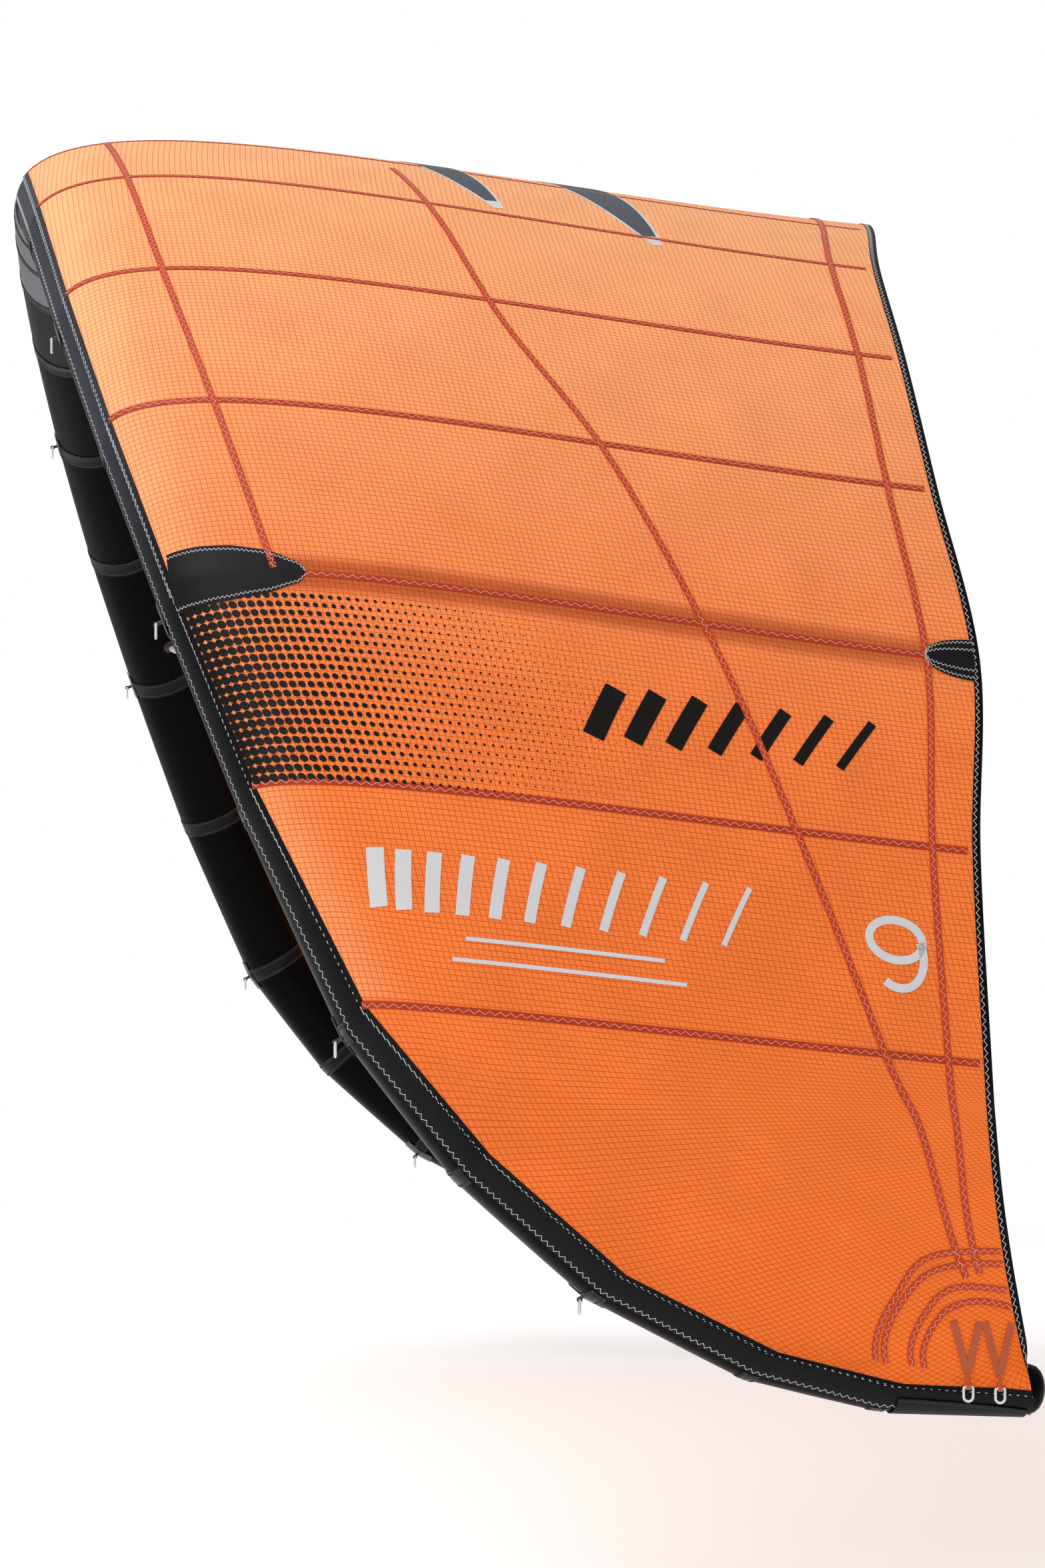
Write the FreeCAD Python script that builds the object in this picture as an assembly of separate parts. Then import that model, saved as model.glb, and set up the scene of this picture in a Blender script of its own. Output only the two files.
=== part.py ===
import FreeCAD, Part
import math
import os

# Inflatable kitesurf kite, 9 square metres of flat canopy, standing as it is flown.
# +X is the right half of the span, +Y points to the trailing edge, +Z is up.
# The origin is the middle of the leading edge, on the axis of its tube.  Millimetres.

V = FreeCAD.Vector

# ---- leading edge, one half: joints are counted from the middle of the span outwards ----
# The middle segment is crossed by x = 0, so its half length comes first.
SEGMENT_LENGTHS = [180, 360, 365, 360, 370, 375, 400, 405, 290, 300, 300, 230, 270]
FRONT_ANGLES = [0, 5, 17, 33, 43, 54.5, 65, 76, 85.5, 103, 109, 114, 129]    # below +X, seen from the front
SWEEP_ANGLES = [0, 0.7, 3.8, 8, 11.5, 15.5, 18.5, 23, 37, 46.5, 59.5, 72.5, 85]    # towards +Y
TUBE_RADII = [94, 93, 91, 89, 86, 83, 80, 78, 74, 70, 64, 57, 50, 44]    # at x = 0 and at joints 1 to 13
TIP_JOINT = 13
STRUT_JOINT = 6        # joint that carries the side strut
LAST_RIB = 8           # outermost chordwise seam
GREY_JOINT = 2         # the grey middle part of the sleeve ends here
LOWER_JOINT = 8        # the sleeve is sewn from an upper and a lower part, which meet here
SLEEVE_WALL = 1.5
BLADDER_WALL = 1.0
BLADDER_GAP = 1.0
BLADDER_END = 0.02          # thickness of its closed ends, in tip segments
TIP_CAP_LENGTH = 26

# ---- canopy ribs, from x = 0 and joint 1 to the last rib ----
CHORDS = [1676, 1668, 1622, 1552, 1500, 1440, 1380, 1220, 1065]
TWIST_ANGLES = [0, 0, -1, -1.7, -2.2, -3, -4, -3.7, -4]    # of the chord line, outwards positive
TAIL_DROPS = [0, 0, 0, 0, 8, 24, 50, 64, 80]               # trailing end, along the span
# The canopy's front edge at each rib, forward of the tube's outer side.
ATTACH_ANGLES = [50, 52, 54, 56, 57, 57, 56, 49, 33, 12, -4, -16, -24, -28]
TIP_TAIL_SHARES = [0.20, 0.42, 0.64, 0.84]    # places of ribs 9 to 12 on the tip's trailing edge
TIP_TAIL_HEIGHT = 42        # trailing corner above the tube's axis at the tip
TIP_TAIL_ASIDE = 31         # and beside it
TIP_TAIL_SLOPES = [5, 6, 8, 20, 85]    # tail slopes of ribs 9 to 13, where the last one wraps the tube
TIP_TAIL_HOLLOW = 12        # depth of the hollow cut into the tip's trailing edge
NOSE_HANDLE = 0.137         # Bezier handles as shares of the chord
NOSE_WRAP = 0.4             # least nose handle, as a share of the tube's radius
TAIL_HANDLE = 0.465
TAIL_SLOPE = 4.5
CLOTH = 1.6                 # thickness given to every layer of cloth
LAYER_GAP = 1.2             # clearance between layers
NOSE_GAP = 2.6              # between the sleeve and the canopy's front edge
TIP_NOSE_GAP = 4.4          # the same from the last rib outwards, where the edge twists round the tube

# ---- tapes, bands and patches ----
LEADING_TAPE_WIDTH = 46
TAPE_STEPS = 3              # sections per tube segment in the leading edge's tape
TRAILING_TAPE_WIDTH = 12
BAND_WIDTH = 46
BAND_LIFT = 0.6
STRIP_STEP = 12.0           # degrees between the points of a strip round the tube
BAND_CLOTH = 1.0
TAPE_TO_BAND = 8            # along the tube's skin
STRUT_RADII = {0: (56, 34), STRUT_JOINT: (48, 30)}    # nose and tail of each strut
STRUT_STATIONS = [0.10, 0.2, 0.32, 0.45, 0.58, 0.7, 0.82, 0.92, 0.975]    # Bezier parameters
STRUT_TO_TUBE = 1.0
PATCH_STEPS = 15
PATCH_LIFT = 1.2
NOSE_PATCH = [(0.02, 58), (0.10, 58), (0.17, 54), (0.24, 42), (0.29, 16)]    # parameter, half width
TAIL_PATCH = [(0.945, 10), (0.955, 22), (0.972, 32), (0.998, 34)]

# ---- line attachments ----
BRIDLE_JOINTS = [4, 6, 8, 10]
BRIDLE_ANGLE = 108          # forward of the tube's outer side
BRIDLE_STANDOFF = 15
BRIDLE_STEM_RADIUS = 3.4
BRIDLE_PATCH_HALF = (30, 16)    # half length along the tube, half width around it
LOOP_BAR_RADIUS = 2.2
LOOP_GAP = (12, 20)         # inside the loop, across and down
LOOP_CORNER = 2.6           # bend radius of its upper corners
KEEPER_RADIUS = 4.8
KEEPER_LENGTH = 8
RUNNING_CLEARANCE = 0.1
STEERING_STATIONS = [12.55, 12.76]    # places along the tip tube, in joints
STEERING_HEIGHT = 4        # of the loop's bar above the tube's axis
STEERING_STANDOFF = 13
STEERING_STEM_RADIUS = 2.5
WEBBING_FOOT_RISE = 20      # of the webbing's foot above the loop's bar
WEBBING_LIFT = 1.2
WEBBING_WIDTH = 12
WEBBING_RISE = 115
WEBBING_TOPS = [12.44, 12.65, 12.87]    # where the straps of the two V shapes end
TIP_PAD_SPAN = (12.1, 12.96)
TIP_PAD_ANGLES = (8, 95)
TIP_PAD_LIFT = 3.6

# ---- inflation valve, under the middle segment ----
VALVE_X = -115
VALVE_FLANGE_RADIUS = 30
VALVE_FLANGE_HEIGHT = 4
VALVE_NECK_RADIUS = 17
VALVE_BORE_RADIUS = 13
VALVE_NECK_HEIGHT = 18
VALVE_DEPTH = 16
FLAP_THICKNESS = 1.5
CAP_WALL = 2.0
CAP_GAP = 0.7
CAP_PIN_RADIUS = 1.8
CAP_PIN_REACH = 26
CAP_SKIRT = 6

# ---- air hoses between the leading edge and the struts ----
HOSE_RADIUS = 6.5
HOSE_WALL = 1.5
HOSE_COLLAR_RADIUS = 14
HOSE_COLLAR_HEIGHT = 5
HOSE_SIDE = 118             # of the hose's start, beside the strut
HOSE_ANGLE = 145            # of its start, round the tube from the outer side towards the rear
CLIP_LENGTH = 30
CLIP_WALL = 2.2
CLIP_SIDE_GAP = 1.0
LEVER_THICKNESS = 3
LEVER_HEEL = 1.2            # of the lever behind its pin
LEVER_PIN_RADIUS = 1.6
LEVER_REST_GAP = 0.6


# ------------------------------------------------------------------ wing geometry

def unit(vector):
    return vector / vector.Length


def mix(a, b, share):
    return a * (1 - share) + b * share


def mirrored(point, side):
    return V(side * point.x, point.y, point.z)


def across(vector, direction):
    """The part of a vector at right angles to a unit direction, as a unit vector."""
    return unit(vector - direction * vector.dot(direction))


def segment_direction(index):
    front = math.radians(FRONT_ANGLES[index])
    sweep = math.radians(SWEEP_ANGLES[index])
    return V(math.cos(sweep) * math.cos(front), math.sin(sweep), -math.cos(sweep) * math.sin(front))


def joint_points():
    points = [V(0, 0, 0)]
    for index, length in enumerate(SEGMENT_LENGTHS):
        points.append(points[-1] + segment_direction(index) * length)
    return points


JOINTS = joint_points()
DIRECTIONS = [segment_direction(index) for index in range(TIP_JOINT)]


def mitre_normal(joint):
    if joint == 0:
        return V(1, 0, 0)
    if joint == TIP_JOINT:
        return DIRECTIONS[-1]
    return unit(DIRECTIONS[joint - 1] + DIRECTIONS[joint])


def tail_points():
    """The trailing end of every rib, on the canopy's outer face."""
    tails = []
    for rib in range(LAST_RIB + 1):
        before = FRONT_ANGLES[rib - 1] if rib else -FRONT_ANGLES[rib]
        front = math.radians((before + FRONT_ANGLES[rib]) / 2)
        twist = math.radians(TWIST_ANGLES[rib])
        outwards = V(math.sin(front), 0, math.cos(front))
        along = V(math.cos(front), 0, -math.sin(front))
        chord = CHORDS[rib] - TRAILING_TAPE_WIDTH
        offset = V(0, math.cos(twist), 0) + outwards * math.sin(twist)
        tails.append(JOINTS[rib] + offset * chord + along * TAIL_DROPS[rib])
    corner = JOINTS[TIP_JOINT] + V(TIP_TAIL_ASIDE, -TRAILING_TAPE_WIDTH, TIP_TAIL_HEIGHT)
    first = tails[LAST_RIB]
    for share in TIP_TAIL_SHARES:
        hollow = TIP_TAIL_HOLLOW * math.sin(math.pi * share)
        tails.append(mix(first, corner, share) - V(0, hollow, 0))
    tails.append(corner)
    return tails


TAILS = tail_points()


def rib_frame(rib):
    """Chordwise and outward unit vectors of a rib's plane, and the tube's direction there."""
    tube = mitre_normal(rib)
    chordwise = unit(TAILS[rib] - JOINTS[rib])
    outwards = unit(tube.cross(chordwise))
    return chordwise, outwards, tube


def rib_poles(rib, lift):
    """The four poles of a rib's profile, with its cloth face lifted off the outer face by lift."""
    chordwise, outwards, tube = rib_frame(rib)
    attach = math.radians(ATTACH_ANGLES[rib])
    radial = outwards * math.cos(attach) - chordwise * math.sin(attach)
    gap = NOSE_GAP if rib < LAST_RIB else TIP_NOSE_GAP
    reach = (TUBE_RADII[rib] + gap + CLOTH + lift) / math.sqrt(1 - radial.dot(tube) ** 2)
    nose = JOINTS[rib] + radial * reach
    heading = unit(chordwise * math.cos(attach) + outwards * math.sin(attach))
    chord = (TAILS[rib] - JOINTS[rib]).Length
    slope = math.radians(TIP_TAIL_SLOPES[rib - LAST_RIB - 1] if rib > LAST_RIB else TAIL_SLOPE)
    nose_handle = max(chord * NOSE_HANDLE, TUBE_RADII[rib] * NOSE_WRAP)
    lifting = outwards * lift
    tail = TAILS[rib] + lifting
    back = outwards * math.sin(slope) - chordwise * math.cos(slope)
    return [nose, nose + heading * nose_handle, tail + back * chord * TAIL_HANDLE, tail]


def bezier_point(poles, at):
    rest = 1 - at
    return (poles[0] * rest ** 3 + poles[1] * 3 * at * rest ** 2
            + poles[2] * 3 * at ** 2 * rest + poles[3] * at ** 3)


def bezier_heading(poles, at):
    rest = 1 - at
    return unit((poles[1] - poles[0]) * rest ** 2 + (poles[2] - poles[1]) * 2 * at * rest
                + (poles[3] - poles[2]) * at ** 2)


def bezier_edge(poles):
    curve = Part.BezierCurve()
    curve.setPoles(poles)
    return curve.toShape()


def tube_station(place):
    """Axis point, radius, plane normal, skinward reference vectors and tube direction at a place.

    A whole number is a joint, where the section is the mitre; other places are square sections."""
    joint = int(math.floor(place + 1e-9))
    share = place - joint
    if share < 1e-6:
        centre, radius = JOINTS[joint], TUBE_RADII[joint]
        normal = mitre_normal(joint)
        tube = DIRECTIONS[min(joint, TIP_JOINT - 1)]
        chordwise = TAILS[joint] - JOINTS[joint]
    else:
        centre = mix(JOINTS[joint], JOINTS[joint + 1], share)
        radius = TUBE_RADII[joint] * (1 - share) + TUBE_RADII[joint + 1] * share
        normal = tube = DIRECTIONS[joint]
        chordwise = mix(TAILS[joint] - JOINTS[joint], TAILS[joint + 1] - JOINTS[joint + 1], share)
    rearwards = across(chordwise, normal)
    outwards = unit(normal.cross(rearwards))
    return centre, radius, rearwards, outwards, tube


def tube_point(place, angle, lift):
    """A point on the tube's skin, lifted by lift, at an angle in degrees forward of the outer side."""
    centre, radius, rearwards, outwards, tube = tube_station(place)
    turn = math.radians(angle)
    radial = outwards * math.cos(turn) - rearwards * math.sin(turn)
    return centre + radial * ((radius + lift) / math.sqrt(1 - radial.dot(tube) ** 2))


def tube_angle(place, width):
    """The angle that a width of cloth covers on the tube's skin."""
    return math.degrees(width / tube_station(place)[1])


def attach_angle(place):
    """The canopy's front edge, as an angle round the tube."""
    joint = min(int(math.floor(place + 1e-9)), TIP_JOINT - 1)

    def at_joint(rib):
        chordwise, outwards, tube = rib_frame(rib)
        leaning = math.sqrt(1 - chordwise.dot(tube) ** 2)
        return math.degrees(math.atan(math.tan(math.radians(ATTACH_ANGLES[rib])) * leaning))

    return at_joint(joint) * (1 - (place - joint)) + at_joint(joint + 1) * (place - joint)


# ------------------------------------------------------------------ solids

def loft(wires):
    solid = Part.makeLoft(wires, True, True)
    if solid.Volume < 0:
        solid.reverse()
    return solid


def ring_wire(points):
    """A smooth closed wire through points of one plane."""
    curve = Part.BSplineCurve()
    curve.interpolate(Points=points, PeriodicFlag=True)
    return Part.Wire([curve.toShape()])


def curve_edge(points):
    curve = Part.BSplineCurve()
    curve.interpolate(Points=points)
    return curve.toShape()


def tube_wire(place, side, lift, corners=24):
    points = [tube_point(place, 360.0 * corner / corners, lift) for corner in range(corners)]
    return ring_wire([mirrored(point, side) for point in points])


def cap_wire(side, reach, share, lift, corners=24):
    """A smaller ring past the last joint, which rounds off the tube's end."""
    radius = TUBE_RADII[TIP_JOINT]
    centre = JOINTS[TIP_JOINT]
    points = []
    for corner in range(corners):
        edge = tube_point(TIP_JOINT, 360.0 * corner / corners, lift)
        points.append(mirrored(centre + (edge - centre) * share + DIRECTIONS[-1] * reach, side))
    return ring_wire(points)


def signed_wires(first, last, lift):
    """Tube sections from a signed place to another; negative places are on the left."""
    places = [place for place in range(first, last + 1) if place != 0]
    return [tube_wire(abs(place), -1 if place < 0 else 1, lift) for place in places]


def tube_solid(first, last, lift):
    return loft(signed_wires(first, last, lift))


def leading_sleeve(first, last):
    return tube_solid(first, last, 0).cut(tube_solid(first, last, -SLEEVE_WALL))


def tip_sleeve(side):
    outer = [tube_wire(joint, side, 0) for joint in range(LOWER_JOINT, TIP_JOINT + 1)]
    outer.append(cap_wire(side, TIP_CAP_LENGTH * 0.6, 0.8, 0))
    outer.append(cap_wire(side, TIP_CAP_LENGTH, 0.45, 0))
    inner = [tube_wire(joint, side, -SLEEVE_WALL) for joint in range(LOWER_JOINT, TIP_JOINT + 1)]
    inner.append(cap_wire(side, TIP_CAP_LENGTH * 0.5, 0.8, -SLEEVE_WALL))
    return loft(outer).cut(loft(inner))


def bladder_half(side):
    """The bladder from joint 1 to its closed end in the tip."""
    lift = -SLEEVE_WALL - BLADDER_GAP
    outer = [tube_wire(joint, side, lift) for joint in range(1, TIP_JOINT + 1)]
    lift -= BLADDER_WALL
    inner = [tube_wire(joint, side, lift) for joint in range(1, TIP_JOINT)]
    inner.append(tube_wire(TIP_JOINT - BLADDER_END, side, lift))
    return loft(outer).cut(loft(inner))


def leading_bladder():
    lift = -SLEEVE_WALL - BLADDER_GAP
    middle = tube_solid(-1, 1, lift).cut(tube_solid(-1, 1, lift - BLADDER_WALL)).cut(holes_for_stems())
    return middle.fuse([bladder_half(1), bladder_half(-1)])


def panel_wire(rib, side):
    outer = [mirrored(pole, side) for pole in rib_poles(rib, 0)]
    inner = [mirrored(pole, side) for pole in rib_poles(rib, -CLOTH)]
    return Part.Wire([bezier_edge(outer), Part.makeLine(outer[3], inner[3]),
                      bezier_edge(inner[::-1]), Part.makeLine(inner[0], outer[0])])


def canopy_panel(ribs, side):
    return loft([panel_wire(rib, side) for rib in ribs])


def middle_panel():
    return loft([panel_wire(1, -1), panel_wire(0, 1), panel_wire(1, 1)])


def skin_strip(places, angle_pairs, low, high, side):
    """A strip of cloth on the tube's skin between two angles, as one lofted solid."""
    wires = []
    widest = max(abs(end - start) for start, end in angle_pairs)
    steps = max(4, int(widest / STRIP_STEP))
    for place, (start, end) in zip(places, angle_pairs):
        angles = [start + (end - start) * step / steps for step in range(steps + 1)]
        outer = [mirrored(tube_point(place, angle, high), side) for angle in angles]
        inner = [mirrored(tube_point(place, angle, low), side) for angle in angles]
        wires.append(Part.Wire([curve_edge(outer), Part.makeLine(outer[-1], inner[-1]),
                                curve_edge(inner[::-1]), Part.makeLine(inner[0], outer[0])]))
    return loft(wires)


def leading_tape(side):
    places = [step / TAPE_STEPS for step in range(TIP_JOINT * TAPE_STEPS + 1)]
    pairs = []
    for place in places:
        start = attach_angle(place) + 1.0
        pairs.append((start, start + tube_angle(place, LEADING_TAPE_WIDTH)))
    return skin_strip(places, pairs, LAYER_GAP, LAYER_GAP + CLOTH, side)


def trailing_tape(side):
    wires = []
    for rib in range(TIP_JOINT + 1):
        outer, inner = rib_poles(rib, 0), rib_poles(rib, -CLOTH)
        heading = unit(outer[3] - outer[2])
        corners = [outer[3], outer[3] + heading * TRAILING_TAPE_WIDTH,
                   inner[3] + heading * TRAILING_TAPE_WIDTH, inner[3]]
        wires.append(Part.makePolygon([mirrored(point, side) for point in corners + corners[:1]]))
    return loft(wires)


def joint_band(joint, side):
    """A cloth band sewn round the tube over a joint, from the tape under the tube to its rear side."""
    places = [joint - BAND_WIDTH / 2.0 / SEGMENT_LENGTHS[joint - 1], joint,
              joint + BAND_WIDTH / 2.0 / SEGMENT_LENGTHS[joint]]
    start = attach_angle(joint) + tube_angle(joint, LEADING_TAPE_WIDTH + TAPE_TO_BAND)
    return skin_strip(places, [(start, 255)] * 3, BAND_LIFT, BAND_LIFT + BAND_CLOTH, side)


def bridle_patch(joint, side):
    """A doubled patch that carries the bridle loop's keeper, over the joint's band."""
    reach, half = BRIDLE_PATCH_HALF
    places = [joint - reach / SEGMENT_LENGTHS[joint - 1], joint, joint + reach / SEGMENT_LENGTHS[joint]]
    turn = tube_angle(joint, half)
    low = BAND_LIFT + BAND_CLOTH + 0.3
    patch = skin_strip(places, [(BRIDLE_ANGLE - turn, BRIDLE_ANGLE + turn)] * 3, low, low + CLOTH, side)
    hook, root = bridle_hook(joint, side), bridle_root(joint, side)
    return patch.fuse(keeper(hook, V(1, 0, 0), root, BRIDLE_STEM_RADIUS))


def bridle_root(joint, side):
    return mirrored(tube_point(joint, BRIDLE_ANGLE, BAND_LIFT + BAND_CLOTH + 0.5), side)


def bridle_hook(joint, side):
    """The middle of the bar that a bridle loop hangs by."""
    return mirrored(tube_point(joint, BRIDLE_ANGLE, BRIDLE_STANDOFF), side)


def keeper(centre, axis, root, stem_radius):
    """A short sleeve of webbing round a loop's bar, with the stem that joins it to the cloth."""
    start = centre - axis * (KEEPER_LENGTH / 2.0)
    barrel = Part.makeCylinder(KEEPER_RADIUS, KEEPER_LENGTH, start, axis)
    stem_way = root - centre
    stem = Part.makeCylinder(stem_radius, stem_way.Length, centre, stem_way)
    bore = Part.makeCylinder(LOOP_BAR_RADIUS + RUNNING_CLEARANCE, 3 * KEEPER_LENGTH,
                             centre - axis * (1.5 * KEEPER_LENGTH), axis)
    return barrel.fuse(stem).cut(bore)


def line_loop(centre, axis):
    """A closed loop of stiffened cord that hangs down from its bar; the bar runs along axis."""
    gap, drop = LOOP_GAP
    half = gap / 2.0 + LOOP_BAR_RADIUS
    down = V(0, 0, -1)
    corner = LOOP_CORNER
    foot = drop + 2 * LOOP_BAR_RADIUS - half

    def at(aside, below):
        return centre + axis * aside + down * below

    diagonal = corner * (1 - math.sqrt(0.5))
    edges = [Part.makeLine(at(0, 0), at(half - corner, 0)),
             Part.Arc(at(half - corner, 0), at(half - diagonal, diagonal), at(half, corner)).toShape(),
             Part.makeLine(at(half, corner), at(half, foot)),
             Part.Arc(at(half, foot), at(0, foot + half), at(-half, foot)).toShape(),
             Part.makeLine(at(-half, foot), at(-half, corner)),
             Part.Arc(at(-half, corner), at(diagonal - half, diagonal), at(corner - half, 0)).toShape(),
             Part.makeLine(at(corner - half, 0), at(0, 0))]
    section = Part.Wire([Part.makeCircle(LOOP_BAR_RADIUS, centre, axis)])
    return Part.Wire(edges).makePipeShell([section], True, False)


def surface_point(place, at, lift):
    """A point and outward normal on the canopy's outer face between two ribs, lifted by lift."""
    rib = min(int(math.floor(place)), TIP_JOINT - 1)
    share = place - rib
    first, second = rib_poles(rib, 0), rib_poles(rib + 1, 0)
    a, b = bezier_point(first, at), bezier_point(second, at)
    heading = mix(bezier_heading(first, at), bezier_heading(second, at), share)
    normal = unit((b - a).cross(heading))
    return mix(a, b, share) + normal * lift, normal


def strap(stations, width, thickness, side):
    """A strap through (point, normal) stations, as one lofted solid."""
    wires = []
    for index, (point, normal) in enumerate(stations):
        before = stations[max(index - 1, 0)][0]
        after = stations[min(index + 1, len(stations) - 1)][0]
        heading = unit(after - before)
        sideways = unit(heading.cross(normal)) * (width / 2.0)
        upwards = unit(sideways.cross(heading)) * thickness
        corners = [point - sideways, point + sideways, point + sideways + upwards, point - sideways + upwards]
        wires.append(Part.makePolygon([mirrored(corner, side) for corner in corners + corners[:1]]))
    return loft(wires)


def steering_hook(place, side):
    """The middle of the bar of a steering loop, beside the tip tube."""
    centre, radius, rearwards, outwards, tube = tube_station(place)
    return mirrored(centre + V(radius + STEERING_STANDOFF, 0, STEERING_HEIGHT), side)


def cloth_station(y, z, lift):
    """The point and normal of the tip panel's outer face that lies at a given y and z."""
    place, at, window = 11.75, 0.5, (1.249, 0.5)
    for _ in range(7):
        tries = []
        for row in range(9):
            for column in range(9):
                new_place = min(max(place + window[0] * (row - 4) / 4.0, 10.5), 12.999)
                new_at = min(max(at + window[1] * (column - 4) / 4.0, 0.0), 1.0)
                point = surface_point(new_place, new_at, lift)[0]
                tries.append((math.hypot(point.y - y, point.z - z), new_place, new_at))
        _, place, at = min(tries)
        window = (window[0] / 3, window[1] / 3)
    return surface_point(place, at, lift)


def tip_webbing(side):
    """Two V shapes of webbing on the tip, each ending in the keeper of a steering loop."""
    tops = [tube_station(place)[0] + V(0, 0, WEBBING_RISE) for place in WEBBING_TOPS]
    pieces = []
    for index, place in enumerate(STEERING_STATIONS):
        hook = steering_hook(place, 1)
        foot = cloth_station(hook.y, hook.z + WEBBING_FOOT_RISE, WEBBING_LIFT)
        arms = []
        for top in (tops[index], tops[index + 1]):
            inward = 5 if top.y < hook.y else -5
            stations = []
            for step in range(5):
                share = 0.04 + 0.96 * step / 4.0
                y = (1 - share) * foot[0].y + share * (top.y + inward)
                z = (1 - share) * foot[0].z + share * top.z
                stations.append(cloth_station(y, z, WEBBING_LIFT))
            arms.append(strap(stations, WEBBING_WIDTH, CLOTH, side))
        root = mirrored(foot[0] + foot[1] * 0.8, side)
        joined = arms[0].fuse(arms[1])
        loop_keeper = keeper(mirrored(hook, side), V(0, 1, 0), root, STEERING_STEM_RADIUS)
        pieces.append(joined.fuse(loop_keeper))
    return Part.makeCompound(pieces)


def tip_pad(side):
    start, end = TIP_PAD_SPAN
    places = [start, (start + end) / 2, end]
    return skin_strip(places, [TIP_PAD_ANGLES] * 3, TIP_PAD_LIFT, TIP_PAD_LIFT + CLOTH, side)


# ------------------------------------------------------------------ struts

def strut_stations(rib, shrink):
    """Axis points, headings and radii of a strut that lies against the canopy's inner face."""
    poles = rib_poles(rib, -CLOTH)
    chordwise, outwards, tube = rib_frame(rib)
    sideways = unit(chordwise.cross(outwards))
    nose, tail = STRUT_RADII[rib]
    stations = []
    for at in STRUT_STATIONS:
        radius = nose + (tail - nose) * at
        heading = bezier_heading(poles, at)
        inwards = unit(heading.cross(sideways))
        if inwards.dot(outwards) > 0:
            inwards = inwards * -1
        centre = bezier_point(poles, at) + inwards * (radius + LAYER_GAP)
        stations.append((centre, heading, inwards, radius - shrink))
    return stations


def strut_solid(rib, side, shrink, cap):
    wires = []
    stations = strut_stations(rib, shrink)
    for centre, heading, inwards, radius in stations:
        sideways = unit(heading.cross(inwards))
        points = []
        for corner in range(16):
            turn = math.radians(360.0 * corner / 16)
            points.append(mirrored(centre + inwards * radius * math.cos(turn)
                                   + sideways * radius * math.sin(turn), side))
        wires.append(ring_wire(points))
    centre, heading, inwards, radius = stations[-1]
    sideways = unit(heading.cross(inwards))
    points = []
    for corner in range(16):
        turn = math.radians(360.0 * corner / 16)
        radial = inwards * math.cos(turn) + sideways * math.sin(turn)
        points.append(mirrored(centre + radial * radius * 0.6 + heading * cap, side))
    wires.append(ring_wire(points))
    return loft(wires)


def strut_cutter(rib, side, lift):
    if rib == 0:
        return tube_solid(-1, 1, lift)
    return loft([tube_wire(joint, side, lift) for joint in (rib - 1, rib, rib + 1)])


def strut_sleeve(rib, side):
    outer = strut_solid(rib, side, 0, 14)
    inner = strut_solid(rib, side, SLEEVE_WALL, 10)
    return outer.cut(inner).cut(strut_cutter(rib, side, STRUT_TO_TUBE))


def strut_bladder(rib, side):
    shrink = SLEEVE_WALL + BLADDER_GAP
    outer = strut_solid(rib, side, shrink, 7).cut(strut_cutter(rib, side, 8))
    inner = strut_solid(rib, side, shrink + BLADDER_WALL, 4).cut(strut_cutter(rib, side, 12))
    return outer.cut(inner)


def patch_half(stations, at):
    """Half the width of a patch at a rib parameter, between its stations."""
    for (before, narrow), (after, wide) in zip(stations, stations[1:]):
        if at <= after:
            return narrow + (wide - narrow) * (at - before) / (after - before)
    return stations[-1][1]


def ridge_patch(rib, side, stations):
    """A patch of cloth over a strut's seam; it folds along the rib."""
    poles = rib_poles(rib, 0)
    chordwise, outwards, tube = rib_frame(rib)
    wires = []
    first, last = stations[0][0], stations[-1][0]
    for step in range(PATCH_STEPS + 1):
        at = first + (last - first) * step / PATCH_STEPS
        half = patch_half(stations, at)
        point = bezier_point(poles, at)
        heading = bezier_heading(poles, at)
        sides = []
        for other in (-1, 1):
            if rib == 0:
                neighbour = mirrored(bezier_point(rib_poles(1, 0), at), other)
            else:
                neighbour = bezier_point(rib_poles(rib + other, 0), at)
            sides.append(across(neighbour - point, heading) * half)
        upwards = across(outwards, heading)
        low, high = upwards * PATCH_LIFT, upwards * (PATCH_LIFT + CLOTH)
        corners = [point + sides[0] + low, point + low, point + sides[1] + low,
                   point + sides[1] + high, point + high, point + sides[0] + high]
        wires.append(Part.makePolygon([mirrored(corner, side) for corner in corners + corners[:1]]))
    return loft(wires)


# ------------------------------------------------------------------ valve

VALVE_AXIS = V(VALVE_X, 0, 0)
SKIN = TUBE_RADII[0] - (TUBE_RADII[0] - TUBE_RADII[1]) * abs(VALVE_X) / SEGMENT_LENGTHS[0]


def down_cylinder(radius, top, bottom, x=VALVE_X, y=0.0):
    """An upright cylinder between two depths below the origin."""
    return Part.makeCylinder(radius, bottom - top, V(x, y, -bottom), V(0, 0, 1))


def cross_pin(radius, length, y, depth):
    return Part.makeCylinder(radius, length, V(VALVE_X - length / 2.0, y, -depth), V(1, 0, 0))


CAP_TOP = SKIN + VALVE_NECK_HEIGHT - CAP_SKIRT
CAP_PIN_DEPTH = CAP_TOP     # level with the skirt's open end, so that the cap swings clear of the neck
FLAP_DEPTH = SKIN - VALVE_DEPTH - 1.0
FLAP_EDGE = VALVE_BORE_RADIUS - 1.6          # the flap's hinge line, behind the neck's middle
FLAP_PIN_LENGTH = 8


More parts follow.
